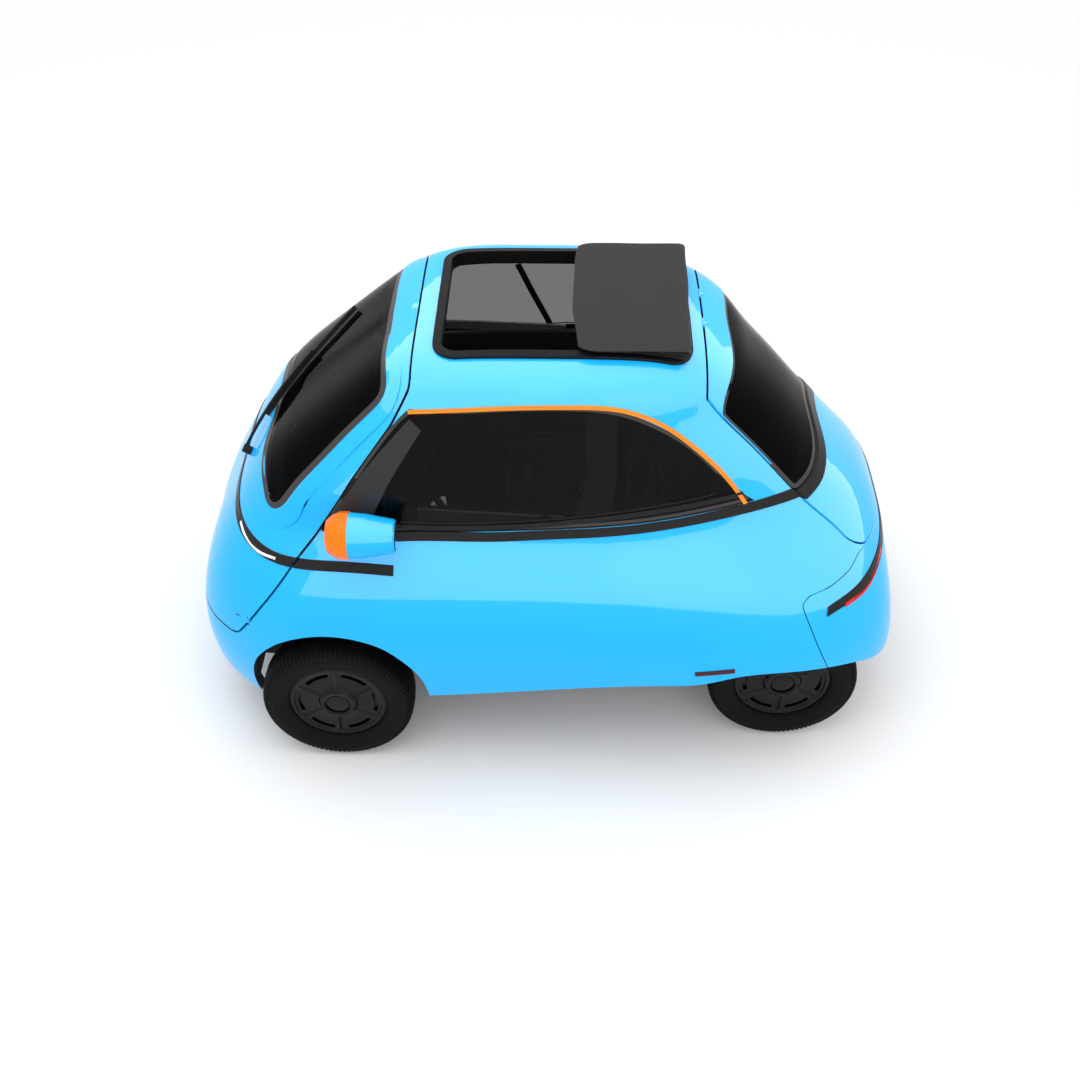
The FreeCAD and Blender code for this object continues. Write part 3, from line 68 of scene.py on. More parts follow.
def newMaterial(name, colour, roughness, metallic=0.0, ior=1.5, **more):
    material = bpy.data.materials.new(name)
    material.use_nodes = True
    shader = material.node_tree.nodes["Principled BSDF"]
    shader.inputs["Base Color"].default_value = linearColour(colour)
    shader.inputs["Roughness"].default_value = roughness
    shader.inputs["Metallic"].default_value = metallic
    shader.inputs["IOR"].default_value = ior
    for key, value in more.items():
        shader.inputs[key.replace("_", " ")].default_value = value
    return material, shader


def joinSocket(material, source, shader, name):
    material.node_tree.links.new(source, shader.inputs[name])


def addBump(material, shader, height, strength, distance, normal="Normal"):
    settings = {"Strength": strength, "Distance": distance}
    bump = addNode(material, "ShaderNodeBump", settings, {"Height": height})
    joinSocket(material, bump.outputs["Normal"], shader, normal)


def mixColours(material, factor, first, second):
    mix = addNode(material, "ShaderNodeMix", {"data_type": "RGBA"}, {0: factor})
    mix.inputs[6].default_value = linearColour(first)
    mix.inputs[7].default_value = linearColour(second)
    return mix.outputs[2]


def objectSpace(material):
    return {"Vector": addNode(material, "ShaderNodeTexCoord").outputs["Object"]}


def addNoise(material, space, scale, detail):
    return addNode(material, "ShaderNodeTexNoise", {"Scale": scale, "Detail": detail}, space).outputs[0]


# Roughness that wanders between two values over the surface.
def varyRoughness(material, shader, value, low, high):
    span = addNode(material, "ShaderNodeMapRange", {"To Min": low, "To Max": high}, {"Value": value})
    joinSocket(material, span.outputs[0], shader, "Roughness")


# Lacquered blue panels: pigment under a clear coat, with the faint waviness of sprayed paint.
paint = {
    "colour": "00B6FF", "deep": "00B0FD", "roughness": 0.45, "ior": 1.2, "cloudScale": 3.0,
    "coat": 0.6, "coatIor": 1.36, "coatRoughness": 0.03,
    "waveMm": 9, "waveStrength": 0.04, "waveDepth": 0.0004,
}


def makePaint():
    material, shader = newMaterial(
        "blueLacquerPaint", paint["colour"], paint["roughness"], ior=paint["ior"],
        Coat_Weight=paint["coat"], Coat_Roughness=paint["coatRoughness"], Coat_IOR=paint["coatIor"],
    )
    space = objectSpace(material)
    cloud = addNoise(material, space, paint["cloudScale"], 2.0)
    joinSocket(material, mixColours(material, cloud, paint["colour"], paint["deep"]), shader, "Base Color")
    peel = addNoise(material, space, 1000 / paint["waveMm"], 1.0)
    addBump(material, shader, peel, paint["waveStrength"], paint["waveDepth"], "Coat Normal")
    return material


# Moulded plastic: fine spark-eroded grain that scatters light, and gloss that wanders a little.
moulded = {"ior": 1.3, "mottleScale": 6.0, "smoother": 0.06, "rougher": 0.08, "grainDepth": 0.0004}


def makeMoulded(name, colour, roughness, grainMm, strength):
    material, shader = newMaterial(name, colour, roughness, ior=moulded["ior"])
    space = objectSpace(material)
    grain = addNode(material, "ShaderNodeTexVoronoi", {"Scale": 1000 / grainMm}, space)
    mottle = addNoise(material, space, moulded["mottleScale"], 3.0)
    varyRoughness(material, shader, mottle, roughness - moulded["smoother"], roughness + moulded["rougher"])
    addBump(material, shader, grain.outputs["Distance"], strength, moulded["grainDepth"])
    return material


# Tinted safety glass: dark body tint, polished on both faces, with the slight roll of bent panes.
glazing = {"roughness": 0.03, "rollScale": 5.0, "rollStrength": 0.02, "rollDepth": 0.002}


def makeGlass(name, tint, alpha, ior=1.26):
    material, shader = newMaterial(name, tint, glazing["roughness"], ior=ior, Alpha=alpha)
    roll = addNoise(material, objectSpace(material), glazing["rollScale"], 1.0)
    addBump(material, shader, roll, glazing["rollStrength"], glazing["rollDepth"])
    return material


# Tyre rubber: vulcanised, carbon black, matt with a greyer bloom on the worn tread.
rubber = {
    "colour": "0C0C0C", "deep": "060606", "bloom": "0C0C0B", "bloomScale": 14.0, "roughness": 0.7,
    "ior": 1.22, "fineMm": 1.6, "fineStrength": 0.25, "fineDepth": 0.0003,
}


def makeRubber():
    material, shader = newMaterial("tyreRubber", rubber["colour"], rubber["roughness"], ior=rubber["ior"])
    space = objectSpace(material)
    bloom = addNoise(material, space, rubber["bloomScale"], 4.0)
    joinSocket(material, mixColours(material, bloom, rubber["deep"], rubber["bloom"]), shader, "Base Color")
    fine = addNoise(material, space, 1000 / rubber["fineMm"], 2.0)
    addBump(material, shader, fine, rubber["fineStrength"], rubber["fineDepth"])
    return material


# Woven cloth: two crossed thread waves at a real thread spacing, drawn a little coarse so that it shows.
weave = {"roughness": 0.9, "sheenRoughness": 0.4, "turn": 6.2832, "distortion": 0.4, "depth": 0.0006}


def makeCloth(name, dark, light, threadMm, strength, sheen):
    material, shader = newMaterial(
        name, dark, weave["roughness"], Sheen_Weight=sheen, Sheen_Roughness=weave["sheenRoughness"],
    )
    space = objectSpace(material)
    scale = 1000 / threadMm / weave["turn"]
    threads = {}
    for link, way in enumerate(("X", "Y")):
        settings = {"bands_direction": way, "Scale": scale, "Distortion": weave["distortion"]}
        threads[link] = addNode(material, "ShaderNodeTexWave", settings, space).outputs["Fac"]
    crossed = addNode(material, "ShaderNodeMath", {"operation": "MULTIPLY"}, threads).outputs[0]
    joinSocket(material, mixColours(material, crossed, dark, light), shader, "Base Color")
    addBump(material, shader, crossed, strength, weave["depth"])
    return material


# Cast, coated or plated metal: a fine cloud in its gloss and a faint orange skin.
metal = {"castScale": 60.0, "smoother": 0.08, "rougher": 0.12, "strength": 0.1, "depth": 0.0005}


def makeMetal(name, colour, roughness, metallic=1.0):
    material, shader = newMaterial(name, colour, roughness, metallic)
    cast = addNoise(material, objectSpace(material), metal["castScale"], 4.0)
    varyRoughness(material, shader, cast, roughness - metal["smoother"], roughness + metal["rougher"])
    addBump(material, shader, cast, metal["strength"], metal["depth"])
    return material


# From gloss to matt: lacquer, acrylic, satin trim, grained plastic, tinted panes, rubber, cloth and metals.
bluePaint = makePaint()
roofRubber = makeMoulded("rubberEdgedRoofFrame", "0C0C0C", 0.5, 1.5, 0.1)
glossBlack = makeMoulded("pianoBlackAcrylic", "0B0B0C", 0.14, 2.0, 0.01)
trimBlack = makeMoulded("satinBlackTrim", "1C1A19", 0.34, 1.5, 0.05)
grainBlack = makeMoulded("grainedBlackPolypropylene", "161617", 0.6, 1.4, 0.25)
cabinBlack = makeMoulded("cabinSoftTouchPlastic", "232324", 0.62, 1.6, 0.2)
frontGlass = makeGlass("tintedLaminatedGlass", "050505", 0.8, 1.1)
sideGlass = makeGlass("tintedTemperedGlass", "060606", 0.6)
tyreRubber = makeRubber()
seatCloth = makeCloth("wovenSeatCloth", "141417", "26262A", 2.4, 0.5, 0.25)
roofCloth = makeCloth("coatedRoofCanvas", "262627", "2E2E2F", 1.6, 0.3, 0.08)
wheelBlack = makeMetal("powderCoatedAlloy", "101011", 0.42, 0.25)
chassisSteel = makeMetal("paintedChassisSteel", "17181A", 0.5, 0.3)
castAlloy = makeMetal("castAluminium", "85888B", 0.45)
pinSteel = makeMetal("zincPlatedSteel", "9A9DA0", 0.32)
orangePlastic = makeMoulded("orangeLacquerAbs", "FF7A02", 0.25, 2.5, 0.02)
redLens = makeMoulded("redAcrylicLens", "4A0507", 0.16, 3.0, 0.02)
mirrorFace = makeMetal("silveredMirror", "E6E8EA", 0.04)

finishes = {
    "sky_blue": bluePaint, "tinted_glass": sideGlass, "black_trim": trimBlack, "black_plastic": grainBlack,
    "roof_cloth": roofCloth, "seat_cloth": seatCloth, "tyre_rubber": tyreRubber, "black_wheel": wheelBlack,
    "black_steel": chassisSteel, "motor_alloy": castAlloy, "orange_trim": orangePlastic, "mirror": mirrorFace,
    "red_lens": redLens, "pin_steel": pinSteel,
}
slotOf = {part["node"]: part["material_slot"] for part in frame["record"]["subparts"]}


dressing = {"weld": 0.00002, "angle": 32}


def dressNode(name):
    node = nodes[name]
    node.data.materials.clear()
    node.data.materials.append(finishes[slotOf[name]])
    for face in node.data.polygons:
        face.use_smooth = True
    weld = node.modifiers.new("weldSeams", "WELD")
    weld.merge_threshold = dressing["weld"]
    split = node.modifiers.new("crispEdges", "EDGE_SPLIT")
    split.split_angle = math.radians(dressing["angle"])


for name in nodes:
    dressNode(name)
nodes["windscreen"].data.materials[0] = frontGlass
nodes["rear_glass"].data.materials[0] = frontGlass
nodes["sunroof_frame"].data.materials[0] = roofRubber
print("stage: frame dressed")


# Camera of the photograph: seen from the car's left, from above. Its picture is square.
lens = {
    "yaw": 1.2712, "pitch": 41.4415, "roll": -0.1944, "distance": 5.12178, "aimX": 0.031783, "aimZ": 0.43305,
    "mm": 45.0, "sensorMm": 36.0, "pixels": 1080, "step": 2.5,
}


def makeCamera():
    yaw, pitch, roll = [math.radians(lens[key]) for key in ("yaw", "pitch", "roll")]
    ahead = Vector((math.sin(yaw) * math.cos(pitch), -math.cos(yaw) * math.cos(pitch), -math.sin(pitch)))
    right = ahead.cross(Vector((0, 0, 1))).normalized()
    above = right.cross(ahead)
    c, s = math.cos(roll), math.sin(roll)
    right, above = right * c + above * s, above * c - right * s
    turn = Matrix((right, above, -ahead)).transposed().to_4x4()
    camera = bpy.data.objects.new("photoCamera", bpy.data.cameras.new("photoCamera"))
    scene.collection.objects.link(camera)
    eye = Vector((lens["aimX"], 0, lens["aimZ"])) - ahead * lens["distance"]
    camera.matrix_world = Matrix.Translation(eye) @ turn
    camera.data.sensor_width = lens["sensorMm"]
    camera.data.lens = lens["mm"]
    camera.data.clip_end = 100
    scene.camera = camera
    return camera.matrix_world.copy()


cameraPlace = makeCamera()


# A place inside the body, level with a point's own stretch of it, from which its skin looks outwards.
core = {"share": 0.6, "z": 0.72, "facing": 0.3}


def heart(point):
    return Vector((core["share"] * point.x, 0, core["z"]))


def outwards(point):
    return (point - heart(point)).normalized()


def meshTree(mesh):
    points = [vertex.co for vertex in mesh.vertices]
    return BVHTree.FromPolygons(points, [list(face.vertices) for face in mesh.polygons])


# The body's outer form without its gaps. A row holds a height, the reach ahead and behind, the half width,
# the widest place, and the exponents of the rounding at the front and at the rear.
form = {
    "reach": 1233, "half": 733.5, "shift": -11.1, "columns": 288, "rise": 10,
    "rows": (
        (130, 0.942, 0.957, 0.83, 150, 5.2, 5.4), (180, 0.965, 0.962, 0.87, 150, 5, 5.4),
        (300, 0.995, 0.99, 0.935, 130, 4.7, 5), (450, 1.009, 0.991, 0.98, 120, 4.2, 4.6),
        (600, 0.994, 0.974, 1, 120, 3.7, 3.8), (750, 0.943, 0.939, 0.975, 110, 3.4, 2.9),
        (850, 0.895, 0.892, 0.907, 100, 3.3, 2.5), (920, 0.865, 0.845, 0.836, 80, 3.4, 2.4),
        (1050, 0.79, 0.747, 0.785, 60, 3.8, 2.4), (1200, 0.657, 0.638, 0.725, 40, 4.1, 2.5),
        (1330, 0.53, 0.542, 0.671, 20, 4.3, 2.6), (1400, 0.459, 0.489, 0.63, 0, 4.5, 2.8),
        (1440, 0.41, 0.437, 0.592, -10, 4.5, 2.8), (1465, 0.355, 0.38, 0.535, -20, 4.3, 2.8),
        (1482, 0.283, 0.308, 0.432, -20, 4, 2.8), (1490, 0.186, 0.207, 0.275, -20, 3.4, 2.7),
    ),
}


# A smooth curve through the given values that never swings past them.
def between(heights, values, z):
    last = len(heights) - 1
    slope = [(values[i + 1] - values[i]) / (heights[i + 1] - heights[i]) for i in range(last)]
    inner = [0 if a * b <= 0 else 2 * a * b / (a + b) for a, b in zip(slope, slope[1:])]
    lean = [slope[0]] + inner + [slope[-1]]
    i = min(last - 1, sum(1 for height in heights[1:-1] if height <= z))
    span = heights[i + 1] - heights[i]
    t = (z - heights[i]) / span
    start = (2 * t ** 3 - 3 * t * t + 1) * values[i] + (t ** 3 - 2 * t * t + t) * span * lean[i]
    return start + (3 * t * t - 2 * t ** 3) * values[i + 1] + (t ** 3 - t * t) * span * lean[i + 1]


def makeForm():
    heights, *others = zip(*form["rows"])
    floors = int((heights[-1] - heights[0]) / form["rise"])
    levels = [heights[0] + form["rise"] * k for k in range(floors + 1)]
    columns, points, faces = form["columns"], [], []
    for z in levels:
        front, rear, wide, middle, frontBend, rearBend = [between(heights, values, z) for values in others]
        for i in range(columns):
            c, s = math.cos(math.tau * i / columns), math.sin(math.tau * i / columns)
            bend = frontBend if c > 0 else rearBend
            reach = front * form["reach"] - middle if c > 0 else rear * form["reach"] + middle
            x = middle + math.copysign(reach * abs(c) ** (2 / bend), c)
            y = math.copysign(wide * form["half"] * abs(s) ** (2 / bend), s)
            points.append(Vector((x + form["shift"], y, z)) / 1000)
    for k in range(len(levels) - 1):
        for i in range(columns):
            a, b = k * columns + i, k * columns + (i + 1) % columns
            faces.append((a, b, b + columns, a + columns))
    return BVHTree.FromPolygons(points, faces)


formTree = makeForm()


# The faces of some nodes that look outwards, so that no gap wall or inner side counts as the surface.
def surfaceOf(*names):
    points, faces = [], []
    for name in names:
        start = len(points)
        mesh = nodes[name].data
        points += [vertex.co.copy() for vertex in mesh.vertices]
        for face in mesh.polygons:
            if face.normal.dot(outwards(face.center)) > core["facing"]:
                faces.append([start + i for i in face.vertices])
    return BVHTree.FromPolygons(points, faces)


# The point of a surface that the photograph shows at a pixel; the middle of five rays steps over a gap.
def seen(tree, column, row):
    turn, eye = cameraPlace.to_3x3(), cameraPlace.translation
    middle, focal, step = lens["pixels"] / 2, lens["mm"] / lens["sensorMm"] * lens["pixels"], lens["step"]
    reach = []
    for dx, dy in ((0, 0), (step, 0), (-step, 0), (0, step), (0, -step)):
        aim = (turn @ Vector((column + dx - middle, middle - row - dy, -focal))).normalized()
        place = tree.ray_cast(eye, aim)[0]
        if place is not None:
            reach.append((place - eye).dot(turn @ Vector((0, 0, -1))))
    if not reach:
        raise RuntimeError("nothing seen at %s, %s" % (column, row))
    depth = sorted(reach)[(len(reach) - 1) // 2]
    return eye + turn @ Vector(((column - middle) / focal, (middle - row) / focal, -1)) * depth


# The nearest place of a surface, with its normal turned outwards.
def nearest(tree, point):
    place, normal, _, _ = tree.find_nearest(point)
    if normal.dot(place - heart(place)) < 0:
        normal = -normal
    return place, normal


def select(piece):
    bpy.ops.object.select_all(action="DESELECT")
    piece.select_set(True)
    bpy.context.view_layer.objects.active = piece


def editMesh(piece, *steps):
    select(piece)
    bpy.ops.object.mode_set(mode="EDIT")
    bpy.ops.mesh.select_all(action="SELECT")
    for step, settings in steps:
        step(**settings)
    bpy.ops.object.mode_set(mode="OBJECT")


def tidyMesh(piece):
    merge = (bpy.ops.mesh.remove_doubles, {"threshold": dressing["weld"]})
    editMesh(piece, merge, (bpy.ops.mesh.normals_make_consistent, {"inside": False}))


def applied(piece, kind, **settings):
    select(piece)
    modifier = piece.modifiers.new(kind.lower(), kind)
    for key, value in settings.items():
        setattr(modifier, key, value)
    bpy.ops.object.modifier_apply(modifier=modifier.name)


# A grid primitive whose crossings are moved to the places that a rule gives.
def wrapGrid(name, columns, rows, place):
    bpy.ops.object.select_all(action="DESELECT")
    bpy.ops.mesh.primitive_grid_add(x_subdivisions=columns, y_subdivisions=rows, size=2)
    piece = bpy.context.object
    piece.name = name
    for vertex in piece.data.vertices:
        i = round((vertex.co.x + 1) / 2 * columns)
        j = round((vertex.co.y + 1) / 2 * rows)
        vertex.co = place(i, j)
    return piece


def settle(piece, body, slot, material, replaced=(), angle=35):
    piece.data.materials.clear()
    piece.data.materials.append(material)
    select(piece)
    bpy.ops.object.shade_smooth_by_angle(angle=math.radians(angle))
    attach(piece, body)
    for name in replaced:
        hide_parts(name)
    return piece


# A copy with a mesh of its own, its points moved by a rule; a mirrored one is turned right side out.
def copyOf(piece, name, rule):
    twin = piece.copy()
    twin.data = piece.data.copy()
    twin.name = name
    scene.collection.objects.link(twin)
    for vertex in twin.data.vertices:
        vertex.co = rule(vertex.co)
    tidyMesh(twin)
    return twin


def mirrorOf(piece, name, body, slot, material, replaced=(), angle=35):
    twin = copyOf(piece, name, lambda p: Vector((p.x, -p.y, p.z)))
    return settle(twin, body, slot, material, replaced, angle)


# Points at even steps along a broken line.
def spaced(points, count):
    reach = [0.0]
    for before, after in zip(points, points[1:]):
        reach.append(reach[-1] + (after - before).length)
    line, k = [], 0
    for i in range(count + 1):
        goal = reach[-1] * i / count
        while k < len(points) - 2 and reach[k + 1] < goal:
            k += 1
        span = reach[k + 1] - reach[k]
        line.append(points[k].lerp(points[k + 1], (goal - reach[k]) / span if span else 0))
    return line


# Points at even steps along a smooth line through the given points.
def evenLine(points, count, closed=False):
    points = [Vector(p) for p in points]
    total = len(points)
    fine = []
    for i in range(total if closed else total - 1):
        spots = [(i + k) % total if closed else min(max(i + k, 0), total - 1) for k in (-1, 0, 1, 2)]
        a, b, c, d = [points[spot] for spot in spots]
        for step in range(8):
            t = step / 8
            bend, twist = 2 * a - 5 * b + 4 * c - d, 3 * b - a - 3 * c + d
            fine.append(0.5 * (2 * b + (c - a) * t + bend * t * t + twist * t ** 3))
    fine.append(points[0] if closed else points[-1])
    return spaced(fine, count)


# The places before and after one on a line, which stop at its ends or run on round it.
def beside(i, count, closed):
    if closed:
        return (i - 1) % count, (i + 1) % count
    return max(i - 1, 0), min(i + 1, count - 1)


# Running middle values, which pass over the places where a line crosses a gap.
def middles(values, closed, reach=9):
    count, result = len(values), []
    for i in range(count):
        spots = [i + k for k in range(-reach, reach + 1)]
        spots = [spot % count if closed else min(max(spot, 0), count - 1) for spot in spots]
        result.append(sorted(values[spot] for spot in spots)[reach])
    return result


def depthOf(tree, point, normal):
    return (nearest(tree, point)[0] - point).dot(normal)


# A thin strip that lies on a surface along a line. Its width runs from low to high across the line and its
# lift may differ between the two sides. It takes its bend from the body's form and its depth from the
# surface, in which it may sink no deeper than least.
def stripOn(name, tree, line, low, high, lift, thick, rows=3, closed=False, passes=4, least=-1.0):
    count = len(line)
    lifts = lift if isinstance(lift, tuple) else (lift, lift)
    sides = [beside(i, count, closed) for i in range(count)]
    normals = [nearest(formTree, point)[1] for point in line]
    for _ in range(6):
        normals = [(normals[a] + 2 * normals[i] + normals[b]).normalized() for i, (a, b) in enumerate(sides)]
    spots = []
    for i, point in enumerate(line):
        across = normals[i].cross(line[sides[i][1]] - line[sides[i][0]]).normalized()
        edge, other = [value[i] if isinstance(value, list) else value for value in (low, high)]
        row = [point + across * (edge + (other - edge) * j / rows) for j in range(rows + 1)]
        spots.append([guess + normals[i] * depthOf(formTree, guess, normals[i]) for guess in row])
    for j in range(rows + 1):
        under = tree[j] if isinstance(tree, list) else tree
        depths = [depthOf(under, spots[i][j], normals[i]) for i in range(count)]
        for _ in range(2):
            depths = middles(depths, closed)
        if j < rows:
            depths = [max(depth, least) for depth in depths]
        for i in range(count):
            spots[i][j] = spots[i][j] + normals[i] * depths[i]
    for _ in range(passes):
        for j in range(rows + 1):
            column = [row[j] for row in spots]
            for i, (a, b) in enumerate(sides):
                if a != i and b != i:
                    spots[i][j] = (column[a] + 2 * column[i] + column[b]) / 4

    def place(i, j):
        i %= count
        return spots[i][j] + normals[i] * (lifts[0] + (lifts[1] - lifts[0]) * j / rows)

    piece = wrapGrid(name, count if closed else count - 1, rows, place)
    tidyMesh(piece)
    applied(piece, "SOLIDIFY", thickness=thick, offset=0)
    tidyMesh(piece)
    return piece


def ribbonOn(name, tree, path, low, high, lift, thick, steps=80, rows=3):
    return stripOn(name, tree, evenLine(path, steps), low, high, lift, thick, rows)


# The rim of a pane's outer face, in order.
def outlineOf(name, count):
    mesh = nodes[name].data
    key = [tuple(round(c * 20000) for c in vertex.co) for vertex in mesh.vertices]
    at = {key[i]: mesh.vertices[i].co.copy() for i in range(len(key))}
    uses = {}
    for face in mesh.polygons:
        if face.normal.dot(outwards(face.center)) < 0.45:
            continue
        ring = [key[i] for i in face.vertices]
        for a, b in zip(ring, ring[1:] + ring[:1]):
            if a != b:
                uses.setdefault(frozenset((a, b)), []).append((a, b))
    follow = {}
    for pairs in uses.values():
        if len(pairs) == 1:
            follow.setdefault(pairs[0][0], []).append(pairs[0][1])
    best = []
    while follow:
        start = next(iter(follow))
        loop = [start]
        while loop[-1] in follow:
            ways = follow[loop[-1]]
            following = ways.pop()
            if not ways:
                del follow[loop[-1]]
            loop.append(following)
            if following == start:
                break
        if len(loop) > len(best):
            best = loop
    points = [at[k] for k in best[:-1]]
    return spaced(points + points[:1], count)[:-1]


# A band printed or moulded along the edge of a pane, inwards from its rim.
def edgeBand(name, pane, start, width, lift, thick, count=260, rows=3):
    line = outlineOf(pane, count)
    for _ in range(3):
        line = [(line[i - 1] + 2 * line[i] + line[(i + 1) % count]) / 4 for i in range(count)]
    middle = sum(line, Vector()) / count
    tree = surfaceOf(pane)
    turn = 0
    for i, point in enumerate(line):
        along = line[(i + 1) % count] - line[i - 1]
        turn += nearest(tree, point)[1].cross(along).dot(middle - point)
    side = 1 if turn > 0 else -1
    return stripOn(name, tree, line, side * start, side * (start + width), lift, thick, rows, True)


# Inner faces of the painted panels carry a dark lining, and so do the flanges of the shell's window openings.
lining = {
    "panels": ("body_shell", "front_door", "hatch", "tail_panel"), "flanges": "body_shell",
    "above": 0.86, "depth": 0.0045, "clear": 0.0006, "off": 0.0003,
}


def lineInside():
    for name in lining["panels"]:
        mesh = nodes[name].data
        tree = meshTree(mesh)
        mesh.materials.append(cabinBlack)
        for face in mesh.polygons:
            way = outwards(face.center)
            start = face.center + way * lining["clear"] + face.normal * lining["off"]
            covered = tree.ray_cast(start, way)[0] is not None
            surface, outward = nearest(formTree, face.center)
            sunk = (surface - face.center).dot(outward) > lining["depth"]
            flange = name == lining["flanges"] and face.center.z > lining["above"] and sunk
            if covered or flange:
                face.material_index = 1


lineInside()
print("stage: inner faces lined")

# Tyres, 145/70 R13: sidewall, shoulder blocks with fine cross cuts, two grooves round the crown. The half
# section runs from the bead to the crown: radius, side and how deep the cross cuts reach there.
tyre = {
    "pitches": 96, "cut": 0.0032, "centre": (0.7259, 0.632, 0.266), "rearX": -0.8401, "rearY": 0.509,
    "pitchParts": (0.0, 0.10, 0.34, 0.44), "slant": 0.25 / 0.06, "shoulder": 0.045, "shoulderSpan": 0.028,
    "half": (
        (0.1690, 0.0500, 0), (0.1725, 0.0590, 0), (0.1765, 0.0628, 0), (0.1800, 0.0640, 0),
        (0.1835, 0.0668, 0), (0.1950, 0.0700, 0), (0.2080, 0.0720, 0), (0.2190, 0.0724, 0),
        (0.2215, 0.0734, 0), (0.2240, 0.0724, 0), (0.2330, 0.0710, 0), (0.2400, 0.0692, 0),
        (0.2425, 0.0692, 0.3), (0.2470, 0.0676, 1), (0.2520, 0.0648, 1), (0.2565, 0.0604, 1),
        (0.2600, 0.0548, 1), (0.2622, 0.0480, 1), (0.2636, 0.0400, 1), (0.2642, 0.0350, 0.4),
        (0.2644, 0.0320, 0), (0.2585, 0.0300, 0), (0.2585, 0.0240, 0), (0.2650, 0.0220, 0),
        (0.2655, 0.0180, 0.6), (0.2659, 0.0060, 0.6), (0.2660, 0.0040, 0),
    ),
}


def makeTyre(name):
    half = tyre["half"]
    section = [(r, y, cut) for r, y, cut in half] + [(r, -y, cut) for r, y, cut in reversed(half)]
    x, y, z = tyre["centre"]

    def place(i, j):
        pitch, k = divmod(i, 4)
        radius, side, cut = section[j]
        slant = tyre["slant"] * side if cut else 0.0
        angle = (pitch + tyre["pitchParts"][k] + slant) / tyre["pitches"] * math.tau
        if k in (1, 2):
            radius -= cut * tyre["cut"]
            into = max(0.0, (abs(side) - tyre["shoulder"]) / tyre["shoulderSpan"])
            side -= math.copysign(cut * tyre["cut"] * into, side)
        return (x + radius * math.sin(angle), y + side, z + radius * math.cos(angle))

    piece = wrapGrid(name, 4 * tyre["pitches"], len(section) - 1, place)
    tidyMesh(piece)
    return piece


# Wheel covers: plain domed cap, raised ring, six narrow ribs, arc slots and a satin rim ring, on a steel
# wheel. Rows run from the hub outwards over the front and back behind it: radius in m, height in mm.
cover = {
    "face": 0.676, "ribFoot": 0.0065, "ribMm": 4.5, "ribFrom": 0.064, "ribTo": 0.151, "sectors": 6,
    "slotFrom": 9.0, "slotSpan": 42.0, "slotSteps": 14, "slotRows": (16, 17), "flatMm": 3.1, "frontRows": 26,
    "rows": (
        (0.0002, 15), (0.015, 15), (0.030, 14.2), (0.038, 12.6), (0.040, 9.5), (0.043, 9.5), (0.0455, 17),
        (0.049, 19), (0.058, 19), (0.0645, 14), (0.069, 6.8), (0.073, 5.2), (0.090, 4.6), (0.108, 3.8),
        (0.1245, 3.2), (0.1260, 3.2), (0.1275, -9), (0.1390, -9), (0.1405, 3), (0.147, 3), (0.150, 4.2),
        (0.1525, 8.2), (0.156, 9.8), (0.163, 9.6), (0.168, 7.8), (0.170, 2), (0.1725, 2), (0.1755, 11),
        (0.179, 13), (0.182, 11.5), (0.1825, 4), (0.180, -12), (0.166, -22), (0.163, -98), (0.178, -110),
        (0.181, -116), (0.176, -116), (0.152, -104), (0.150, -30), (0.060, -22), (0.0002, -22),
    ),
}


def makeCover(name):
    x, y, z = tyre["centre"][0], cover["face"], tyre["centre"][2]
    steps, sector = cover["slotSteps"], 360 / cover["sectors"]
    kinds = ["top", "foot"] + ["flat"] * 2 + ["slot"] * steps + ["flat"] * 2 + ["foot"]
    slots = [cover["slotFrom"] + cover["slotSpan"] * k / (steps - 1) for k in range(steps)]
    degrees = [None, None, 5.5, 8.4] + slots + [51.6, 54.5, None]
    rows = cover["rows"]

    def place(i, j):
        turn, k = divmod(i, len(kinds))
        radius, height = rows[j]
        foot = math.degrees(math.asin(min(0.9, cover["ribFoot"] / max(radius, 0.02))))
        if kinds[k] == "top":
            angle = 0.0
        elif kinds[k] == "foot":
            angle = foot if k == 1 else sector - foot
        else:
            angle = foot + (sector - 2 * foot) * degrees[k] / sector
        if j < cover["frontRows"] and kinds[k] == "top" and cover["ribFrom"] < radius < cover["ribTo"]:
            height += cover["ribMm"]
        if j in cover["slotRows"] and kinds[k] != "slot":
            height = cover["flatMm"] + (cover["ribMm"] if kinds[k] == "top" else 0)
        around = math.radians(turn * sector + angle)
        return (x + radius * math.sin(around), y + height / 1000, z + radius * math.cos(around))

    piece = wrapGrid(name, cover["sectors"] * len(kinds), len(rows) - 1, place)
    tidyMesh(piece)
    return piece


# Each wheel's place in the names, its body, whether it is a rear one, and the side it is on.
wheels = (
    ("front_left", "wheel_fl", 0, 1), ("front_right", "wheel_fr", 0, -1),
    ("rear_left", "wheel_rl", 1, 1), ("rear_right", "wheel_rr", 1, -1),
)


def makeWheels():
    models = (
        ("tyre", makeTyre("tyreModel"), tyreRubber, "tyre_rubber", 38),
        ("rim", makeCover("coverModel"), coverBlack, "black_wheel", 30),
    )
    for kind, model, material, slot, angle in models:
        for place, body, rear, side in wheels:
            dx = (tyre["rearX"] - tyre["centre"][0]) * rear
            dy = (tyre["rearY"] - tyre["centre"][1]) * rear
            name = kind + "Dressed_" + place
            twin = copyOf(model, name, lambda p: Vector((p.x + dx, side * (p.y + dy), p.z)))
            settle(twin, body, slot, material, (kind + "_" + place,), angle)
        bpy.data.objects.remove(model)


# Glossy black plastic of the wheel covers, with soft highlights along the ribs.
coverBlack = makeMoulded("glossWheelCoverPlastic", "050505", 0.2, 2.0, 0.02)
makeWheels()
print("stage: wheels made")

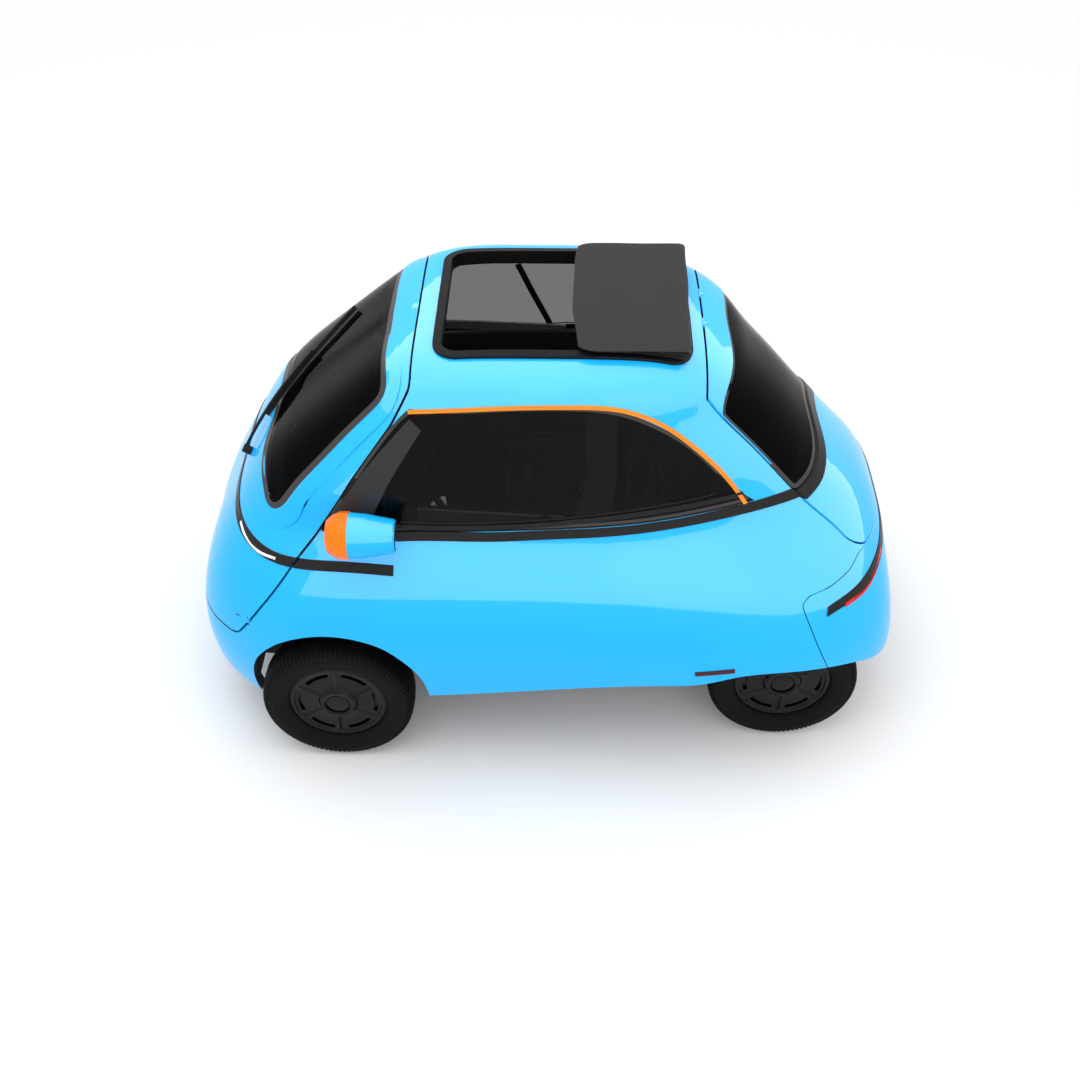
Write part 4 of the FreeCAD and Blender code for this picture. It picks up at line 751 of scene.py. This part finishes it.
# Folded roof: one canvas laid in three layers behind the opening, the front bow on top. Its path gives x and
# the share of the height between the roof skin and the top.
canvas = {
    "columns": 190, "rows": 56, "thick": 0.003, "halfTop": 0.3340, "halfUnder": 0.316, "edgeBend": 0.94,
    "upperFrom": 0.5, "upperSpan": 0.35, "corner": 0.036, "cornerShare": 0.9, "frontX": -0.0795,
    "bulge": 0.018, "bulgeFrom": -0.3, "bulgeSpan": 0.2, "roofZ": 1.4900, "roofFrom": -0.2, "roofDrop": 0.083,
    "roofBow": 4.5, "topZ": 1.5112, "rimDrop": 0.0035, "sag": 0.0009, "sagSpan": (-0.44, -0.10),
    "slackZ": 0.0022, "slackEdge": 0.0016, "slackX": 0.0030, "skew": 0.010, "half": 0.33,
    "path": (
        (-0.4500, 0.10), (-0.30, 0.10), (-0.16, 0.13), (-0.1440, 0.20), (-0.1400, 0.30), (-0.1440, 0.40),
        (-0.17, 0.46), (-0.30, 0.50), (-0.4200, 0.50), (-0.4400, 0.52), (-0.4500, 0.60), (-0.4540, 0.73),
        (-0.4510, 0.88), (-0.4400, 0.97), (-0.4200, 1.0), (-0.30, 1.0), (-0.20, 1.0), (-0.1100, 1.0),
        (-0.0900, 0.98), (-0.0815, 0.90), (-0.0800, 0.72), (-0.0840, 0.56),
    ),
}


def makeCanvas():
    columns, rows, wide = canvas["columns"], canvas["rows"], canvas["half"]
    line = evenLine([(x, 0.03 * f, 0) for x, f in canvas["path"]], columns)

    def place(i, j):
        x, f = line[i].x, line[i].y / 0.03
        t = 2 * j / rows - 1
        upper = min(1.0, max(0.0, (f - canvas["upperFrom"]) / canvas["upperSpan"]))
        half = canvas["halfUnder"] + (canvas["halfTop"] - canvas["halfUnder"]) * upper
        into = x - (canvas["frontX"] - canvas["bulge"] - canvas["corner"])
        if upper > 0 and into > 0:
            share = min(1.0, into / (canvas["corner"] + canvas["bulge"]))
            half -= canvas["corner"] * (1 - math.sqrt(max(0.0, 1 - share * share))) * canvas["cornerShare"]
        y = half * math.sin(t * math.pi / 2 * canvas["edgeBend"]) / math.sin(math.pi / 2 * canvas["edgeBend"])
        if upper > 0 and x > canvas["bulgeFrom"]:
            ahead = min(1.0, (x - canvas["bulgeFrom"]) / canvas["bulgeSpan"])
            x -= canvas["bulge"] * (y / canvas["halfTop"]) ** 2 * ahead
        behind = max(0.0, canvas["roofFrom"] - x)
        base = canvas["roofZ"] - canvas["roofDrop"] * behind ** 2 - canvas["roofBow"] * behind ** 2 * y * y
        top = canvas["topZ"] - canvas["rimDrop"] * abs(y / wide) ** 5
        held = 1 if canvas["sagSpan"][0] < x < canvas["sagSpan"][1] else 0.3
        top -= canvas["sag"] * (1 + math.sin(31 * x + 4 * y)) * (1 - 0.4 * abs(y / wide)) * held
        z = base + f * (top - base)
        loose = 4 * max(0.0, (1 - f)) * f
        z += canvas["slackZ"] * loose * math.sin(23 * y + 40 * x)
        z += canvas["slackEdge"] * loose * abs(t) ** 6 * math.sin(160 * x)
        slack = canvas["slackX"] * loose * math.sin(19 * y)
        skew = canvas["skew"] * y / wide * min(1.0, max(0.0, (canvas["roofFrom"] - x) / canvas["bulgeSpan"]))
        return (x + slack + skew, y, z)

    piece = wrapGrid("foldedRoofCanvas", columns, rows, place)
    middle = [Vector(place(i, rows // 2)) for i in range(columns + 1)]
    applied(piece, "SOLIDIFY", thickness=canvas["thick"], offset=0)
    tidyMesh(piece)
    settle(piece, "chassis", "roof_cloth", roofCloth, ("roof_fabric",), 60)


makeCanvas()
print("stage: folded roof made")

# Seat pads: a rounded block each, swollen as cloth under pressure, then sewn with channels. A pad has its
# size, centre and lean; a channel has the axis it crosses, its place on it and the face it is sewn into.
pads = {
    "voxel": 0.011, "pressure": 4.0, "steps": 20, "cap": 0.013, "rounding": 0.36, "channel": 0.007,
    "channelWidth": 0.008, "benchTop": 0.5056,
    "cushion": (
        (0.425, 0.470, 0.078), (-0.040, 0.262, 0.5565), 0.0, ((1, -0.11, 2), (1, 0.11, 2), (0, 0.09, 2)),
    ),
    "back": (
        (0.098, 0.400, 0.520), (-0.402, 0.216, 0.781), -13.5, ((1, -0.10, 0), (1, 0.10, 0), (2, 0.14, 0)),
    ),
}


def makeBlock(name, size):
    bpy.ops.object.select_all(action="DESELECT")
    bpy.ops.mesh.primitive_cube_add(size=1, location=(0, 0, 0))
    piece = bpy.context.object
    piece.name = name
    for vertex in piece.data.vertices:
        vertex.co = Vector([c * s for c, s in zip(vertex.co, size)])
    return piece


def makePad(name, size, centre, lean, channels):
    piece = makeBlock(name, size)
    applied(piece, "BEVEL", width=pads["rounding"] * min(size), segments=5)
    applied(piece, "REMESH", mode="VOXEL", voxel_size=pads["voxel"])
    before = [vertex.co.copy() for vertex in piece.data.vertices]
    select(piece)
    cloth = piece.modifiers.new("swell", "CLOTH")
    cloth.settings.use_pressure = True
    cloth.settings.uniform_pressure_force = pads["pressure"]
    cloth.settings.effector_weights.gravity = 0
    for step in range(1, pads["steps"] + 1):
        scene.frame_set(step)
    bpy.ops.object.modifier_apply(modifier=cloth.name)
    scene.frame_set(1)
    for vertex, start in zip(piece.data.vertices, before):
        moved = vertex.co - start
        if moved.length > pads["cap"]:
            vertex.co = start + moved.normalized() * pads["cap"]
    applied(piece, "SUBSURF", levels=1)
    for vertex in piece.data.vertices:
        for axis, at, face in channels:
            if vertex.co[face] > 0:
                away = (vertex.co[axis] - at) / pads["channelWidth"]
                vertex.co[face] -= pads["channel"] * math.exp(-away * away)
    turn = Matrix.Rotation(math.radians(lean), 3, "Y")
    for vertex in piece.data.vertices:
        vertex.co = turn @ vertex.co + Vector(centre)
        vertex.co.z = max(vertex.co.z, pads["benchTop"])
    tidyMesh(piece)
    return piece


def makeSeats():
    kinds = (("cushion", "seat_cushion", "seatCushion"), ("back", "seat_back", "seatBack"))
    models = [makePad(name + "_left", *pads[kind]) for kind, _, name in kinds]
    for piece, (_, node, name) in zip(models, kinds):
        settle(piece, "chassis", "seat_cloth", seatCloth, (node,), 60)
        twin = mirrorOf(piece, name + "_right", "chassis", "seat_cloth", seatCloth, (), 60)


makeSeats()

# Belt buckles between the seats: a black stalk and head with a red release button.
buckle = {
    "foot": (-0.14, 0.036, 0.545), "lean": 14.0, "bevel": 0.0015, "headUp": 0.025, "buttonUp": 0.051,
    "head": (0.020, 0.026, 0.050), "button": (0.012, 0.018, 0.006), "stalk": (0.007, 0.016, 0.060),
}


def makeBuckles():
    turn = Matrix.Rotation(math.radians(buckle["lean"]), 3, "Y")
    foot, tall = Vector(buckle["foot"]), buckle["stalk"][2]
    for name, size, up, slot, material in (
        ("beltStalk", buckle["stalk"], tall / 2, "black_trim", trimBlack),
        ("beltBuckle", buckle["head"], tall + buckle["headUp"], "black_trim", trimBlack),
        ("beltButton", buckle["button"], tall + buckle["buttonUp"], "red_lens", buttonRed),
    ):
        piece = makeBlock(name + "_left", size)
        for vertex in piece.data.vertices:
            vertex.co = turn @ (vertex.co + Vector((0, 0, up))) + foot
        applied(piece, "BEVEL", width=buckle["bevel"], segments=2)
        settle(piece, "chassis", slot, material)
        mirrorOf(piece, name + "_right", "chassis", slot, material)


# Bright red release button with a fine moulded sheen.
buttonRed = makeMoulded("redButtonPlastic", "C01020", 0.3, 2.0, 0.02)
makeBuckles()
print("stage: seats made")

# Orange stripes above the side glass, given by pixels of the photograph, and the panes' dark edge bands.
stripe = {
    "seen": (
        (407.5, 412), (440, 411), (502, 408.6), (560, 407.6), (596, 408), (622.4, 410.8), (648.8, 418.8),
        (672.4, 431), (692.9, 446.2), (707, 458), (721.5, 472), (735, 488), (746, 504),
    ),
    "half": 0.0070, "lift": 0.0016, "thick": 0.0022, "steps": 120,
}
# Each band has its pane, its start and width inwards from the pane's rim, its body and whether it has a twin.
bands = {
    "rearGlassBand": ("rear_glass", 0.003, 0.016, "hatch_lid", False),
    "sideGlassBand_left": ("side_glass_left", 0.002, 0.011, "chassis", True),
}
bandDepth = {"lift": 0.0003, "thick": 0.0008}


def makeEdges():
    skin = surfaceOf("body_shell", "side_glass_left")
    path = [seen(formTree, *pixel) for pixel in stripe["seen"]]
    half, lift, thick = stripe["half"], stripe["lift"], stripe["thick"]
    piece = ribbonOn("orangeStripe_left", skin, path, -half, half, lift, thick, stripe["steps"])
    settle(piece, "chassis", "orange_trim", stripeOrange)
    mirrorOf(piece, "orangeStripe_right", "chassis", "orange_trim", stripeOrange)
    for name, (carrier, start, width, body, paired) in bands.items():
        piece = edgeBand(name, carrier, start, width, bandDepth["lift"], bandDepth["thick"])
        settle(piece, body, "black_trim", ceramicPrint)
        if paired:
            mirrorOf(piece, name.replace("left", "right"), body, "black_trim", ceramicPrint)


# Windscreen surround: a raised body-colour lip whose inner edge is the outline of the dark band on the glass.
# The outline's half is given from the front, as y and height in mm, from the top's middle to the bottom's.
surround = {
    "half": (
        (0, 1428), (110, 1429), (210, 1427), (290, 1421), (345, 1408), (385, 1386), (407, 1356), (420, 1309),
        (437, 1236), (459, 1141), (473, 1052), (476, 1000), (468, 966), (448, 958), (422, 974), (385, 1005),
        (320, 1034), (230, 1053), (120, 1064), (0, 1068),
    ),
    "steps": 300, "ahead": 2.0, "lip": 0.056, "cornerTop": 1.05, "cornerSpan": 0.05, "cornerMore": 0.014,
    "lipLift": (-0.0006, 0.0014), "lipThick": 0.0012, "lipRows": 7, "lipLeast": -0.0004,
    "band": 0.023, "bandLift": 0.0010, "bandThick": 0.0010,
    # The edge strip, from the band inwards, is a near-black sheet of painted shade on the glass.
    "edge": 0.052, "edgeLift": 0.0004, "edgeThick": 0.0008,
}


def makeSurround():
    door, both = surfaceOf("front_door"), surfaceOf("windscreen", "front_door")
    half, ahead, rows = surround["half"], surround["ahead"], surround["lipRows"]
    loop = [Vector((ahead, y / 1000, z / 1000)) for y, z in half]
    loop += [Vector((ahead, -y / 1000, z / 1000)) for y, z in reversed(half[1:-1])]
    loop = evenLine(loop, surround["steps"], True)[:-1]
    line = [formTree.ray_cast(point, Vector((-1, 0, 0)))[0] for point in loop]
    middle = sum(line, Vector()) / len(line)
    inwards = nearest(formTree, line[0])[1].cross(line[1] - line[-1]).dot(middle - line[0])
    side = 1 if inwards > 0 else -1
    lower = [min(1.0, max(0.0, (surround["cornerTop"] - point.z) / surround["cornerSpan"])) for point in line]
    outer = [-side * (surround["lip"] + surround["cornerMore"] * share) for share in lower]
    lip = stripOn(
        "windscreenSurround", [door] * rows + [both], line, outer, 0.0,
        surround["lipLift"], surround["lipThick"], rows, True, least=surround["lipLeast"],
    )
    settle(lip, "door", "sky_blue", bluePaint)
    for name, low, high, kind, rows, material in (
        ("windscreenBand", 0.0, surround["band"], "band", 3, ceramicPrint),
        # The second strip is painted shade: a near-black sheet over the windscreen's inner edge.
        ("windscreenPaintedShade", surround["band"], surround["edge"], "edge", 4, glassEdgePaintedShade),
    ):
        lift, thick = surround[kind + "Lift"], surround[kind + "Thick"]
        piece = stripOn(name, both, line, side * low, side * high, lift, thick, rows, True)
        settle(piece, "door", "black_trim", material)


# Cut vinyl film, even and softly glossy, and screen-printed enamel at the glass, dull grey-black. The
# near-black glassy strip inside the windscreen's band is painted shade that darkens the edge of the glass.
stripeOrange = makeMoulded("orangeVinylStripe", "F08C22", 0.3, 2.5, 0.01)
ceramicPrint = makeMoulded("ceramicPrintedGlassEdge", "3E3C3B", 0.3, 2.0, 0.02)
glassEdgePaintedShade = newMaterial("paintedShadeGlassEdge", "040404", 0.05, ior=1.1)[0]
makeEdges()
makeSurround()
print("stage: stripes and bands made")

# Trim at the side windows: pillar covers, the upright of the sliding pane, its rails and the vent bar. Each
# line is given by pixels of the photograph, and its width runs from the line to each side.
trimSteps = 48
sideTrim = {
    "pillarCover": {
        "line": ((409, 419), (387, 443), (364, 470), (343, 499), (334, 512)), "low": 0.001,
        "high": [0.052 + 0.068 * i / trimSteps for i in range(trimSteps + 1)], "lift": 0.0009,
        "thick": 0.0010, "finish": "cover",
    },
    "middlePillar": {
        "line": ((601, 414), (602, 440), (602, 470), (598, 500), (590, 522)), "low": -0.050, "high": 0.050,
        "lift": -0.0110, "thick": 0.0040, "finish": "pillar",
    },
    "paneUpright": {
        "line": ((384.5, 471), (384.5, 500), (385, 532)), "low": -0.004, "high": 0.004, "lift": -0.0065,
        "thick": 0.0030, "finish": "rail",
    },
    "lowerRail": {
        "line": (
            (352, 519), (396, 527), (450, 529), (520, 527), (590, 521), (660, 511.5), (722, 499.5),
            (743, 494),
        ),
        "low": -0.0085, "high": 0.0085, "lift": 0.0016, "thick": 0.0020, "finish": "rail",
    },
    "upperRail": {
        "line": ((400, 522.5), (450, 524), (520, 522), (590, 516), (660, 506), (716, 494)), "low": -0.0020,
        "high": 0.0020, "lift": 0.0006, "thick": 0.0012, "finish": "rail",
    },
}
farTrim = {
    "farUpright": {
        "line": ((518, 264), (535, 296), (551, 325)), "low": -0.011, "high": 0.011, "lift": -0.0090,
        "thick": 0.0060, "finish": "rail",
    },
    # The far ledge's pale grey is a painted highlight along the far window's inner edge.
    "farLedge": {
        "line": ((443, 319), (480, 320), (530, 322), (566, 324)), "low": -0.0030, "high": 0.0030,
        "lift": -0.0120, "thick": 0.0040, "finish": "ledge",
    },
    "farSill": {
        "line": ((443, 319), (480, 320), (530, 322), (566, 324)), "low": -0.019, "high": 0.019,
        "lift": -0.0100, "thick": 0.0050, "finish": "pillar", "drop": 0.024,
    },
}


# Lamp pods: a faceted orange cap with a chamfered front round a dark lens.
podCap = {
    "centre": (0.652, 1.018), "sides": 12, "wall": 0.0012, "cornerRows": (1, 2),
    "lensSides": 48, "glassFacing": -0.7,
    "profile": (
        (0.6175, 0.0722), (0.6180, 0.0762), (0.6500, 0.0757), (0.6720, 0.0660), (0.6890, 0.0520),
        (0.6890, 0.0480), (0.6800, 0.0470),
    ),
    "lens": ((0.6790, 0.0500), (0.6850, 0.0480), (0.6868, 0.0300), (0.6874, 0.0003)),
}


def makePods():
    y, z = podCap["centre"]
    for name, sides, profile, material, slot, angle, replaced in (
        ("podCap", podCap["sides"], podCap["profile"], orangePlastic, "orange_trim", 12, ("pod_lamps",)),
        ("podLens", podCap["lensSides"], podCap["lens"], glossBlack, "black_trim", 35, ()),
    ):
        def place(i, j):
            turn = math.tau * (i + 0.5) / sides
            x, radius = profile[j]
            if replaced and j in podCap["cornerRows"]:
                radius /= math.sqrt(math.cos(math.pi / sides))
            return (x, y + radius * math.cos(turn), z + radius * math.sin(turn))

        piece = wrapGrid(name + "_left", sides, len(profile) - 1, place)
        tidyMesh(piece)
        if replaced:
            applied(piece, "SOLIDIFY", thickness=podCap["wall"], offset=-1)
        settle(piece, "chassis", slot, material, replaced, angle)
        mirrorOf(piece, name + "_right", "chassis", slot, material, (), angle)
    mirrors = nodes["mirror_glasses"].data
    mirrors.materials.append(trimBlack)
    for face in mirrors.polygons:
        if face.normal.x > podCap["glassFacing"]:
            face.material_index = 1


makePods()


def makeSideTrim():
    finishOf = {"cover": pillarBlack, "pillar": pillarCloth, "rail": railBlack, "ledge": ledgePaintedHighlight}
    nearPane = surfaceOf("side_glass_left", "body_shell")
    # The far pane is seen from inside, through the roof opening.
    farPane = meshTree(nodes["side_glass_right"].data)
    for table, side, other, target, tree in (
        (sideTrim, "left", "right", formTree, nearPane),
        (farTrim, "right", "left", farPane, farPane),
    ):
        for name, trim in table.items():
            path = [seen(target, *pixel) - Vector((0, 0, trim.get("drop", 0))) for pixel in trim["line"]]
            width = (trim["low"], trim["high"])
            piece = ribbonOn(name + "_" + side, tree, path, *width, trim["lift"], trim["thick"], trimSteps)
            settle(piece, "chassis", "black_trim", finishOf[trim["finish"]])
            mirrorOf(piece, name + "_" + other, "chassis", "black_trim", finishOf[trim["finish"]])


# Flat grey pillar lining, satin pillar cover, black anodised rails; the pale ledge is a painted highlight.
pillarCloth = makeMoulded("greyPillarTrim", "6A6867", 0.7, 1.4, 0.2)
pillarBlack = makeMoulded("satinPillarCover", "302F2E", 0.4, 1.5, 0.05)
railBlack = makeMoulded("anodisedBlackRail", "161617", 0.35, 1.5, 0.05)
ledgePaintedHighlight = makeMoulded("paintedHighlightWindowLedge", "B4B4B4", 0.5, 1.5, 0.1)
makeSideTrim()
print("stage: side window trim made")

# Light strips: an opal white inlay in the front bar, a red one in each end of the tail bar.
lights = {
    "front": {
        "line": ((241.9, 521.5), (245.6, 534.4), (251.9, 545.2), (261.7, 553.0), (275.6, 558.4)),
        "carriers": ("light_bar_front", "front_door"), "half": 0.0042, "body": "door", "slot": None,
    },
    "tail": {
        "line": (
            (845.5, 605.0), (852, 600.6), (859.2, 595.0), (865, 588.6), (870, 580.8), (874, 572),
            (876.9, 562.7), (879.3, 548),
        ),
        "carriers": ("tail_lamps", "tail_panel", "body_shell"), "half": 0.0075, "body": "chassis",
        "slot": "red_lens",
    },
}
lightDepth = {"lift": 0.0004, "thick": 0.0024, "steps": 60}


def makeLights():
    for key, material in (("front", opalWhite), ("tail", tailRed)):
        strip = lights[key]
        half, lift, thick = strip["half"], lightDepth["lift"], lightDepth["thick"]
        path = [seen(formTree, *pixel) for pixel in strip["line"]]
        tree = surfaceOf(*strip["carriers"])
        piece = ribbonOn(key + "Light_left", tree, path, -half, half, lift, thick, lightDepth["steps"])
        settle(piece, strip["body"], strip["slot"], material)
        mirrorOf(piece, key + "Light_right", strip["body"], strip["slot"], material)


# Opal diffuser that glows faintly and evenly; clear red cover over a lit strip.
opalWhite = newMaterial("opalLightCover", "F5F6F6", 0.3, Emission_Strength=0.25)[0]
opalWhite.node_tree.nodes["Principled BSDF"].inputs["Emission Color"].default_value = linearColour("FFFFFF")
tailRed = makeMoulded("redLightCover", "E0101A", 0.2, 3.0, 0.02)
makeLights()
print("stage: light strips made")

# Studio: pale floor, even surroundings, two large soft boxes, and pale cards whose reflections show the gloss
# of the painted panels. A lamp has its place, size and power; a card has its place, aim, width and height.
studio = {
    "floorHalf": 30.0, "floorColour": "FAFAFA", "worldStrength": 1.0, "aimZ": 0.5, "cardGlow": 6.0,
    "lamps": (("keySoftBox", (0.6, 0.8, 5.2), 4.5, 75), ("fillSoftBox", (-2.5, 5.0, 3.2), 3.0, 30)),
    "cards": (
        ("overheadCard", (0, 0, 5.0), (0, 0, 0), 14, 14),
        ("nearCard", (0, 7.0, 3.1), (0, 0, 3.1), 14, 3.8),
        ("tailCard", (-7, 0, 3.1), (0, 0, 3.1), 14, 3.8),
    ),
}


def addLamp(name, place, aim):
    bpy.ops.object.light_add(type="AREA", location=place)
    lamp = bpy.context.object
    lamp.name = name
    lamp.rotation_mode = "QUATERNION"
    lamp.rotation_quaternion = (Vector(place) - Vector(aim)).to_track_quat("Z", "Y")
    return lamp


def makeStudio():
    bpy.ops.object.select_all(action="DESELECT")
    bpy.ops.mesh.primitive_plane_add(size=2 * studio["floorHalf"], location=(0, 0, 0))
    floor = bpy.context.object
    floor.name = "studioFloor"
    floor.data.materials.append(newMaterial("paleStudioFloor", studio["floorColour"], 0.9)[0])
    world = bpy.data.worlds.new("softStudio")
    world.use_nodes = True
    world.node_tree.nodes["Background"].inputs[0].default_value = (1.0, 1.0, 1.0, 1.0)
    world.node_tree.nodes["Background"].inputs[1].default_value = studio["worldStrength"]
    scene.world = world
    for name, place, size, power in studio["lamps"]:
        lamp = addLamp(name, place, (0, 0, studio["aimZ"]))
        lamp.data.size = size
        lamp.data.energy = power
    painted = bpy.data.collections.new("paintedPanels")
    for name in slotOf:
        if slotOf[name] == "sky_blue":
            painted.objects.link(nodes[name])
    painted.objects.link(bpy.data.objects["windscreenSurround"])
    for name, place, aim, wide, high in studio["cards"]:
        card = addLamp(name, place, aim)
        card.data.shape = "RECTANGLE"
        card.data.size, card.data.size_y = wide, high
        card.data.energy = studio["cardGlow"] * math.pi * wide * high
        card.visible_diffuse = False
        card.light_linking.receiver_collection = painted
    scene.view_settings.view_transform = "Standard"


makeStudio()
print("stage: studio lit")
